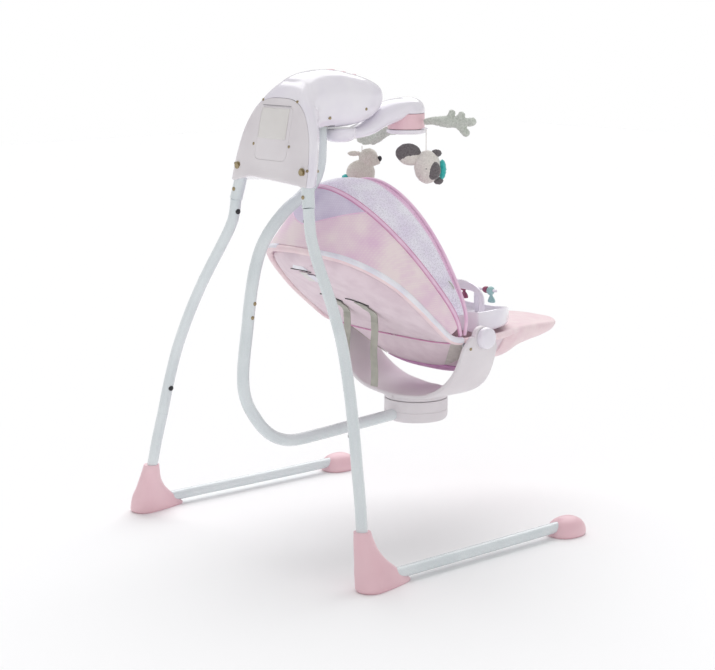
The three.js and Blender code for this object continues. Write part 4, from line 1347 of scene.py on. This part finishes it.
# ---------------------------------------------------------------- canopy
@dataclass
class Canopy:
    """Two hoops, a sheer rear cloth from the rim to the rear one, and a mesh band between them."""

    pivot: tuple = (402.0, 404.0)
    half_width: float = 205
    front: tuple = (408.0, 318.0, 73.6)  # base y, height, lean up from the rear horizontal in degrees
    rear: tuple = (396.0, 363.0, 55.3)
    rim_lean: float = 33.5  # of the seat's rim, seen from the pivots
    window: float = 0.13  # half its width, as a share of the hoop
    casing_r: float = 3.5
    piping_r: float = 1.2
    piping_off: float = 4.6  # of the piping's line from the hoop's plane
    cloth_off: float = 4.5  # of a cloth's edge from the hoop's plane
    rear_swell: float = 3

    def hoop(self, bow: tuple, forward: float = 0, count: int = 100) -> list[Vector]:
        """The hoop's line, moved off its own plane by forward millimetres.

        Args:
            bow: the hoop's base y, height and lean.
            forward: how far it is moved, in millimetres.
            count: how many stretches it has.

        Returns:
            The line, from one pivot to the other.
        """
        y, height, lean = bow
        lean = math.radians(lean)
        flat = [(184.0, 0.0), (197.0, 0.1)]
        flat += [(self.half_width * math.cos(math.radians(d)), math.sin(math.radians(d)))
                 for d in (12, 26, 40, 54, 68, 80)]
        flat.append((0.0, 1.0))
        half = [(x, y - f * height * math.cos(lean) + forward * math.sin(lean),
                 self.pivot[1] + f * height * math.sin(lean) + forward * math.cos(lean)) for x, f in flat]
        return through([*mirrored(half, 1), *reversed(mirrored(half, -1)[:-1])], count)

    @staticmethod
    def spot(first: Sequence[Vector], second: Sequence[Vector], t: float, share: float,
             swell: float) -> Vector:
        """A point of a sheet, t along both lines and share of the way from the first to the second.

        Args:
            first: the first line.
            second: the second line.
            t: share along both lines.
            share: share of the way between them.
            swell: how far the middle stands out, in millimetres.

        Returns:
            The point.
        """
        count = len(first) - 1
        i = min(count - 1, int(t * count))
        part = t * count - i
        p = first[i].lerp(first[i + 1], part).lerp(second[i].lerp(second[i + 1], part), share)
        out = (p - at(0, 330, 430)).normalized()
        ripple = 1.4 * math.sin(9 * math.pi * t) * math.sin(math.pi * share)
        return p + out * ((swell * math.sin(math.pi * share) * math.sin(math.pi * t) + ripple) * MM)

    def sheet(self, name: str, first: Sequence[Vector], second: Sequence[Vector], swell: float, start: float,
              zone: Callable[[float, float], float]) -> bpy.types.Object:
        """A curved sheet between two lines, 1.2 mm thick.

        Args:
            name: the piece's name.
            first: the line that it starts from.
            second: the line that it ends at.
            swell: how far its middle stands out, in millimetres.
            start: share of both lines that it leaves free at each end.
            zone: how far a point at (t, share) belongs to the cloth's second zone.

        Returns:
            The sheet.
        """
        rows, columns = 60, 200
        places = [(start + (1 - 2 * start) * k / columns, r / rows) for r in range(rows + 1)
                  for k in range(columns + 1)]
        piece = mesh_piece(name, [self.spot(first, second, t, share, swell) for t, share in places],
                           grid(rows, columns), 180)
        marks = piece.data.attributes.new("zone", "FLOAT", "POINT")
        for mark, (t, share) in zip(marks.data, places):
            mark.value = zone(t, share)
        return modify(piece, "SOLIDIFY", thickness=1.2 * MM, offset=0)

    def build(self) -> None:
        """Builds the casings and piping on both hoops, and the two cloths."""
        for end, bow in (("rear", self.rear), ("front", self.front)):
            casing = tube(f"{end}_casing", self.hoop(bow), self.casing_r, 18, up=Y_AXIS)
            settle(casing, PINK_CASING, f"canopy_{end}", "piping", f"{end}_bow")
        for letter, side in (("a", -1), ("b", 1)):
            piping = tube(f"rear_piping_{letter}", self.hoop(self.rear, side * self.piping_off),
                          self.piping_r, 10, up=Y_AXIS)
            settle(piping, PINK_BINDING, "canopy_rear", "piping")
        back = [at(x * 1.01, y - 1, z + 8) for x, y, z in RIM[:8]]
        other = [at(-x * 1.01, y - 1, z + 8) for x, y, z in RIM[1:8]]
        edge = through([at(186, 388, 400), *reversed(back), *other, at(-186, 388, 400)], 100)
        rear_line = self.hoop(self.rear, -self.cloth_off)
        rear = self.sheet("rear_cloth", edge, rear_line, self.rear_swell, 0.03, self.in_window)
        band = self.sheet("mesh_band", self.hoop(self.rear, self.cloth_off),
                          self.hoop(self.front, -self.cloth_off), 8, 0.06,
                          lambda t, share: max(0.0, min(1.0, (share - 0.8) / 0.08)))
        border = [self.spot(edge, rear_line, t, self.window_low(t), self.rear_swell)
                  for t in (0.5 + self.window * (k / 20 - 1) for k in range(41))]
        hem = tube("window_hem", border, 1.3, 10, up=Y_AXIS)
        # Each is cut as a crescent 0.9 m long, the hoop's length, and 0.13 m deep between its two lines.
        # A crescent fills two thirds of its rectangle.
        for cloth, dress, slot, pair, node in (
                (rear, CANOPY_CLOTH, "canopy_cloth", ("seat", "canopy_rear"), "canopy_rear_cloth"),
                (band, CANOPY_MESH, "canopy_mesh", ("canopy_rear", "canopy_front"), "canopy_band"),
                (hem, PINK_CASING, "piping", ("seat", "canopy_rear"), "")):
            cloth.data.materials.append(dress)
            if node:
                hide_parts(node)
                LOG.info("%s measures %.4f square metres", cloth.name,
                         sum(f.area for f in cloth.data.polygons) / 2)
            leans = (self.rim_lean, self.rear[2]) if pair[0] == "seat" else (self.rear[2], self.front[2])
            start, end = self.across(*leans)
            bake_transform(cloth)
            LOG.info("%s spans %s and %s", cloth.name, *pair)
        loop = through([at(199, 347, 520), at(204, 350, 514), at(203, 356, 507), at(199, 361, 504)], 24)
        settle(tube("elastic_loop", loop, 1.2, 10, up=X_AXIS), WEBBING, "canopy_front", "webbing")

    def across(self, low: float, high: float) -> tuple[Vector, Vector]:
        """Two points either side of the plane midway between two leans, through the pivots, 25 mm from it.

        Args:
            low: the lower lean, in degrees.
            high: the upper lean, in degrees.

        Returns:
            A point below the plane and one above it.
        """
        lean = math.radians((low + high) / 2)
        y, z = self.pivot
        dy, dz = 25 * math.sin(lean), 25 * math.cos(lean)
        return at(0, y - dy, z - dz), at(0, y + dy, z + dz)

    def window_low(self, t: float) -> float:
        """Share of the rear cloth's depth where the window starts."""
        return 0.36 + 0.64 * min(1, abs(t - 0.5) / self.window) ** 1.6

    def in_window(self, t: float, share: float) -> float:
        """1 inside the window, with an edge about 4 mm wide."""
        return max(0.0,
                   min(1.0, (share - self.window_low(t)) / 0.02 + 0.5)) if abs(t - 0.5) < self.window else 0.0


# ---------------------------------------------------------------- tray
@dataclass
class Tray:
    """The play tray, its arch panel, the toy bar and two generic birds."""

    bar: tuple = (627.0, 454.0)

    @staticmethod
    def outline(grow: float, height: Callable[[float], float]) -> list[Vector]:
        """The tray's plan outline, grown by some millimetres.

        Args:
            grow: how far it is grown, in millimetres.
            height: height for a place around, from -1 at the back to 1 at the foot end.

        Returns:
            The points around.
        """
        points = []
        for i in range(112):
            t = 2 * math.pi * i / 112
            c, s = math.cos(t), math.sin(t)
            y = 462 + (178 + grow) * power(s, 2.2) if s > 0 else 462 + (14 + grow) * s - 14 * (1 - abs(c)) * s
            points.append(at((170 + grow) * power(c, 2.4), y, height(s)))
        return points

    def build(self) -> None:
        """Builds the tray, the bar and the birds."""
        def wall(s: float) -> float:
            """Height of the wall around the tray."""
            return 440 - 22 * max(0, s) ** 3

        steps = ((-8, lambda s: 397.5), (-3, lambda s: 399), (0, lambda s: 402), (1.5, lambda s: 408),
                 (0.6, lambda s: wall(s) - 2),
                 (0, wall), (-2, lambda s: wall(s) + 1), (-4, wall), (-5, lambda s: wall(s) - 4),
                 (-8, lambda s: 406), (-14, lambda s: 402.4),
                 (-20, lambda s: 402))
        body = skin("tray_form", [self.outline(grow, height) for grow, height in steps], sharp=50)
        arch = []
        for depth in (557, 558, 561, 562):
            cut = 1 if depth in (557, 562) else 0
            arch.append([at(x, depth, z) for x, z in self.arch_points(cut)])
        panel = join_cut(skin("arch_panel", arch, sharp=50),
                         slab("arch_window", at(0, 559.5, 437), X_AXIS, Z_AXIS, (152, 52, 20), 4),
                         "DIFFERENCE")
        body = join_cut(body, panel, "UNION")
        tidy_mesh(body, 45)
        body.name = "play_tray"
        settle(body, GLOSS_ABS, "tray", "white_plastic", "tray_body")
        y, z = self.bar
        post = slab("bar_post", at(0, y, (402 + z + 3) / 2), X_AXIS, Z_AXIS, (14, z + 3 - 402, 6), 4)
        rail = tube("bar_rail", [at(x, y, z) for x in range(-58, 59, 4)], 3, 20, up=Z_AXIS)
        settle(joined("toy_rail", [post, rail]), GLOSS_ABS, "tray", "white_plastic", "toy_bar")
        for label, side in SIDES:
            self.bird(label, side)

    @staticmethod
    def arch_points(cut: float) -> list[tuple[float, float]]:
        """The arch panel's outline.

        Args:
            cut: how far its edge is drawn in.

        Returns:
            (x, z) pairs.
        """
        top = [((88 - cut) * power(math.cos(t), 2.6), 440 + (42 - cut) * power(math.sin(t), 2.2))
               for t in (math.pi * i / 60 for i in range(61))]
        return [(88 - cut, 401.5), *top, (-88 + cut, 401.5)]

    def bird(self, label: str, side: int) -> None:
        """A simple bird on the rail: a maroon ball and a teal bead, one of which has the tail.

        Args:
            label: left or right.
            side: -1 on the left and 1 on the right.
        """
        y, z = self.bar
        x = side * 37
        finishes = ((MAROON_PS, "toy_maroon"), (TEAL_PS, "toy_teal"))
        (main, slot), (other, other_slot) = finishes if side < 0 else reversed(finishes)
        r, offset = (9.5, -4) if side < 0 else (8.5, 4)
        body = egg("bird_belly", at(x + offset, y, z - 1), (r, 9.5, 9.5))
        for lobe in (-1, 1):
            path = through([at(x + offset, y + 1, z - 6), at(x + offset + lobe, y + 2, z - 14),
                            at(x + offset + lobe * 4, y + 3, z - 20),
                            at(x + offset + lobe * 5.5, y + 3, z - 27)], 16)
            body = join_cut(body,
                            skin("bird_lobe",
                                 along(path, lambda t: (3.2 + 3.4 * t * t - 4 * max(0, t - 0.85) * 3) * MM,
                                       18, flat=0.7, up=Y_AXIS), sharp=180), "UNION")
        body = melted(body, 0.9, 3)
        body.name = f"bird_body_{label}"
        tidy_mesh(body, 180)
        settle(body, main, f"bird_{label}", slot, f"bird_toy_{label}")
        bead = turned(f"bird_bead_{label}", at(x - offset, y, z),
                      [(0, 0), (5, 0), (7.2, 3), (7.2, 8), (5, 12.5), (2, 14.5), (0, 15)],
                      X_AXIS * (-1 if offset > 0 else 1), 32, 60)
        settle(bead, other, f"bird_{label}", other_slot)
        beak = turned(f"bird_beak_{label}", at(x + (19 if offset < 0 else 12), y, z),
                      [(0, -8), (2.6, -8), (1.8, 2), (0.6, 5), (0, 5.4)], X_AXIS, 20)
        settle(beak, BLACK_ABS if side < 0 else GLOSS_ABS, f"bird_{label}", slot)


# ---------------------------------------------------------------- mobile
@dataclass
class Mobile:
    """The curved arm, its hub, two plush branches and two hanging toys."""

    hub_y: float = 416
    bowl_y: float = 235
    turn: float = math.radians(15)
    stations: tuple = ((232, 803, 17, 9), (262, 804, 21, 11), (295, 809, 24, 14), (318, 818, 25, 17),
                       (338, 830, 27, 20),
                       (360, 839, 30, 23), (385, 846, 33, 22), (416, 853, 36, 16), (440, 853, 30, 12))

    def on_bar(self, r: float, z: float, across: float = 0) -> Vector:
        """A point on the toy bar's line, r from the hub."""
        c, s = math.cos(self.turn), math.sin(self.turn)
        return at(r * c - across * s, self.hub_y + r * s + across * c, z)

    def build(self) -> None:
        """Builds the arm, hub, branches and toys."""
        path = through([at(0, y, z) for y, z, _, _ in self.stations], 60)
        wide, thick = ([(s[0], s[k]) for s in self.stations] for k in (2, 3))
        rings = []
        for i, p in enumerate(path):
            y = (p.y - SHIFT_Y) / MM
            t = (path[min(60, i + 1)] - path[max(0, i - 1)]).normalized()
            ease = math.sin(math.pi / 2 * min(1, (60 - i + 0.6) / 5))
            up = Vector((0, -t.z, t.y))
            rings.append(ring(p, X_AXIS, up, smooth(wide, y) * ease * MM, smooth(thick, y) * ease * MM, 48,
                              2.4))
        arm = skin("mobile_form", rings, sharp=180)
        bowl = turned("mobile_bowl", at(0, self.bowl_y, 0),
                      [(0, 788.5), (12, 788.6), (20, 789.4), (28, 793), (31.4, 798), (33, 806), (33, 812),
                       (32, 816), (0, 816)])
        dome = turned("mobile_dome", at(0, self.hub_y, 0),
                      [(0, 838), (38.5, 838), (38.5, 844), (37.6, 850), (34, 857.5), (29, 863), (22, 867),
                       (12, 870), (0, 870.5)])
        space = turned("hub_space", at(0, self.hub_y, 0),
                       [(0, 780), (41.6, 780), (41.6, 806.2), (38.4, 806.2), (38.4, 838), (0, 838)])
        arm = join_cut(join_cut(join_cut(arm, bowl, "UNION"), space, "DIFFERENCE"), dome, "UNION")
        arm = melted(arm, 1.8, 5)
        arm.name = "curved_arm"
        tidy_mesh(arm, 60)
        settle(arm, GLOSS_ABS, "mobile", "white_plastic", "mobile_arm")
        band = turned("hub_band", at(0, self.hub_y, 0),
                      [(0, 806.4), (37.2, 806.4), (37.9, 807.4), (37.9, 836.6), (37.2, 837.5), (0, 837.5)])
        settle(band, PINK_PP, "mobile", "pink_plastic", "mobile_band")
        disc = turned("hub_disc", at(0, self.hub_y, 0),
                      [(0, 796), (34, 796), (39, 797.6), (41, 800), (41, 803.6), (39.4, 805.4), (0, 805.8)])
        settle(disc, GLOSS_ABS, "mobile", "white_plastic", "mobile_base")
        self.branches()
        self.deer()
        self.whale()

    def limb(self, points: Sequence[tuple[float, float, float]]) -> bpy.types.Object:
        """A round plush limb through (r along the bar, z, radius), with a ball for its end.

        Args:
            points: (r along the bar, z, radius) triples, in millimetres.

        Returns:
            The limb.
        """
        path = through([self.on_bar(r, z) for r, z, _ in points], 26)
        share = [(i / (len(points) - 1), p[2]) for i, p in enumerate(points)]
        limb = skin("limb", along(path, lambda t: smooth(share, t) * MM, 18, up=Y_AXIS), sharp=180)
        r, z, radius = points[-1]
        return join_cut(limb, egg("limb_end", self.on_bar(r, z), (radius, radius, radius), segments=20),
                        "UNION")

    def branches(self) -> None:
        """The two antler-like branches of the toy bar."""
        right = (((44, 821, 6), (60, 824, 8), (84, 824, 10.5), (112, 823, 12), (134, 823, 10),
                  (146, 824.5, 9), (156, 826, 8.5)),
                 ((98, 826, 8), (104, 834, 7), (108, 841, 7.5)),
                 ((116, 826, 8), (125, 832, 7), (131, 838, 7.5)),
                 ((118, 820, 8), (132, 811, 7.5), (141, 803, 8.5)))
        left = (((-24, 798, 6), (-42, 800, 9), (-56, 795, 11), (-70, 785, 11), (-80, 779, 9.5)),
                ((-64, 790, 8), (-90, 785, 7), (-112, 780, 8)),
                ((-76, 780, 7), (-92, 775, 6), (-102, 774, 6)))
        for label, limbs in (("right", right), ("left", left)):
            branch = self.limb(limbs[0])
            for twig in limbs[1:]:
                branch = join_cut(branch, self.limb(twig), "UNION")
            branch = fuzzed(melted(branch, 1.8, 4), 4, 1.4)
            branch.name = f"plush_antler_{label}"
            tidy_mesh(branch, 180)
            settle(branch, GREY_PLUSH, "mobile", "plush_grey", f"plush_branch_{label}")

    def deer(self) -> None:
        """A generic stuffed deer: body, head, muzzle, ear, foot, eye, nose and tail."""
        x, y = -104.3, 388.05
        body = egg("deer_form", at(x - 2, y - 2, 711), (30, 24, 25), 0.85)
        for part in (egg("deer_head", at(x + 9, y + 10, 741), (20, 18.5, 20), 0.85),
                     egg("deer_muzzle", at(x + 18, y + 19, 736), (13, 11, 11), 0.85),
                     egg("deer_ear_a", at(x - 12, y - 11, 750), (15, 6, 5.5), 0.85),
                     egg("deer_foot", at(x + 16, y + 10, 703), (8, 9, 16), 0.85)):
            body = join_cut(body, part, "UNION")
        body = fuzzed(melted(body, 1.6, 4), 4, 1.2)
        body.name = "stuffed_deer"
        tidy_mesh(body, 180)
        settle(body, BEIGE_PLUSH, "deer", "plush_beige", "deer_toy")
        string = tube("deer_string", [at(x, y, z) for z in range(752, 767, 2)], 0.8, 10)
        settle(string, WHITE_PLUSH, "deer", "plush_beige")
        settle(egg("deer_nose", at(x + 28.5, y + 24, 740), (4.6, 4.6, 6), 0.85, 24), BLACK_ABS, "deer",
               "dark_plastic")
        settle(egg("deer_eye", at(x + 12, y - 6, 743), (3.4, 1.4, 1.4), 0.85, 20), BLACK_ABS, "deer",
               "dark_plastic")
        settle(fuzzed(egg("deer_tail", at(x - 23, y - 25, 698), (9, 9, 9), 0.85, 30), 3, 1), TEAL_PLUSH,
               "deer", "plush_beige")

    def whale(self) -> None:
        """A generic stuffed whale: dark back, pale belly, teal fringe and a raised tail."""
        x, y = 46.4, 428.4
        body = fuzzed(melted(egg("whale_form", at(x + 2, y + 2, 730), (27, 22, 34), 0.85), 1.8, 3), 5, 1.0)
        body.name = "stuffed_whale"
        tidy_mesh(body, 180)
        settle(body, WHITE_PLUSH, "whale", "plush_dark", "whale_toy")
        # Each dark or pale part: place from the string, half-sizes and finish.
        for name, place, radii, cloth in (
                ("whale_fan", (-24, -27, 758), (26, 9, 20), DARK_PLUSH),
                ("whale_fan_under", (-21, -23, 748), (24, 9.6, 15), WHITE_PLUSH),
                ("whale_side_near", (20, 2, 724), (15, 9, 19), DARK_PLUSH),
                ("whale_side_far", (2, 22, 724), (15, 9, 19), DARK_PLUSH),
                ("whale_fin_upper", (14, 16, 758), (11, 6, 8), DARK_PLUSH),
                ("whale_fin_lower", (17, 19, 702), (10, 6, 8), DARK_PLUSH),
                ("whale_fringe", (22, 25, 725), (8, 10, 20), TEAL_PLUSH)):
            dx, dy, z = place
            part = fuzzed(egg(name, at(x + dx, y + dy, z), radii, 0.85), 3, 1.4 if cloth is TEAL_PLUSH
                          else 0.8)
            settle(part, cloth, "whale", "plush_dark" if cloth is DARK_PLUSH else "plush_beige")
        settle(egg("whale_eye", at(x + 15, y - 14, 728), (4, 1.4, 1.2), 0.85, 20), BLACK_ABS, "whale",
               "dark_plastic")
        string = tube("whale_string", [at(x, y, z) for z in range(760, 807, 2)], 0.8, 10)
        settle(string, WHITE_PLUSH, "whale", "plush_beige")
        wire = through([self.on_bar(36, 806), self.on_bar(44, 809), self.on_bar(51, 808)], 16)
        settle(tube("toy_wire", wire, 1.2, 10, up=Y_AXIS), GLOSS_ABS, "mobile", "white_plastic")


# ---------------------------------------------------------------- hidden works
def dress_works() -> None:
    """Gives the CAD nodes that stay their finish."""
    finishes = {"battery_box": BLACK_ABS, "speaker": BLACK_ABS, "dc_inlet": BLACK_ABS,
                "drive_magnet": BLACK_ABS,
                "harness_buckle": BLACK_ABS, "circuit_board": BOARD, "drive_coil": COPPER, "swing_hub": ZINC,
                "rear_bearing_bracket": ZINC, "front_bearing_bracket": ZINC}
    for name, dress in finishes.items():
        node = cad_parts[name]
        node.data.materials.clear()
        node.data.materials.append(dress)


# ---------------------------------------------------------------- studio
LENS_MM, SENSOR_MM = 93.76, 36
CAMERA_AT = (2.7950, -2.5900, 1.0794)
CAMERA_DOWN, CAMERA_ROUND = 10.415, 48.453  # degrees
FLOOR_HALF = 9  # metres


def studio() -> None:
    """Camera, pale floor and soft light."""
    camera = bpy.data.objects.new("camera", bpy.data.cameras.new("camera"))
    camera.data.lens, camera.data.sensor_width = LENS_MM, SENSOR_MM
    camera.location = CAMERA_AT
    camera.rotation_euler = (math.radians(90 - CAMERA_DOWN), 0, math.radians(CAMERA_ROUND))
    bpy.context.scene.collection.objects.link(camera)
    bpy.context.scene.camera = camera
    corners = [Vector((x * FLOOR_HALF, y * FLOOR_HALF, 0)) for x, y in ((-1, -1), (1, -1), (1, 1), (-1, 1))]
    floor = mesh_piece("floor", corners, [(0, 1, 2, 3)])
    material, shader = blank("studio_paper")
    shader.inputs["Base Color"].default_value = linear("#FAFAFB")
    shader.inputs["Roughness"].default_value = 0.9
    floor.data.materials.append(material)
    world = bpy.data.worlds.new("studio")
    world.use_nodes = True
    nodes, links = world.node_tree.nodes, world.node_tree.links
    # Paper white below the horizon and a dimmer sky above it, so that the floor runs on without an edge.
    height = nodes.new("ShaderNodeSeparateXYZ")
    links.new(nodes.new("ShaderNodeTexCoord").outputs["Generated"], height.inputs[0])
    band = nodes.new("ShaderNodeMapRange")
    for key, value in (("From Min", 0.02), ("From Max", 0.12), ("To Min", 1.0), ("To Max", 0.52)):
        band.inputs[key].default_value = value
    links.new(height.outputs["Z"], band.inputs["Value"])
    links.new(band.outputs["Result"], nodes["Background"].inputs["Strength"])
    nodes["Background"].inputs["Color"].default_value = (1, 1, 1, 1)
    bpy.context.scene.world = world
    bpy.context.scene.view_settings.view_transform = "Standard"
    # Soft light from high on the left, and a weak one from the camera's right.
    for name, turn, strength, spread in (("key", (-24, -30, 0), 1.75, 60), ("fill", (40, 30, 20), 0.36, 90)):
        light = bpy.data.objects.new(name, bpy.data.lights.new(name, "SUN"))
        light.data.energy, light.data.angle = strength, math.radians(spread)
        light.rotation_euler = [math.radians(a) for a in turn]
        bpy.context.scene.collection.objects.link(light)


def main() -> None:
    """Builds everything in order."""
    logging.basicConfig(level=logging.INFO, format="%(message)s")
    studio()
    for group in (Stand(), Housing(), Arm(), Cradle(), Seat(), Canopy(), Tray(), Mobile()):
        group.build()
    dress_works()
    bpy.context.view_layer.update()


if __name__ == "__main__":
    main()
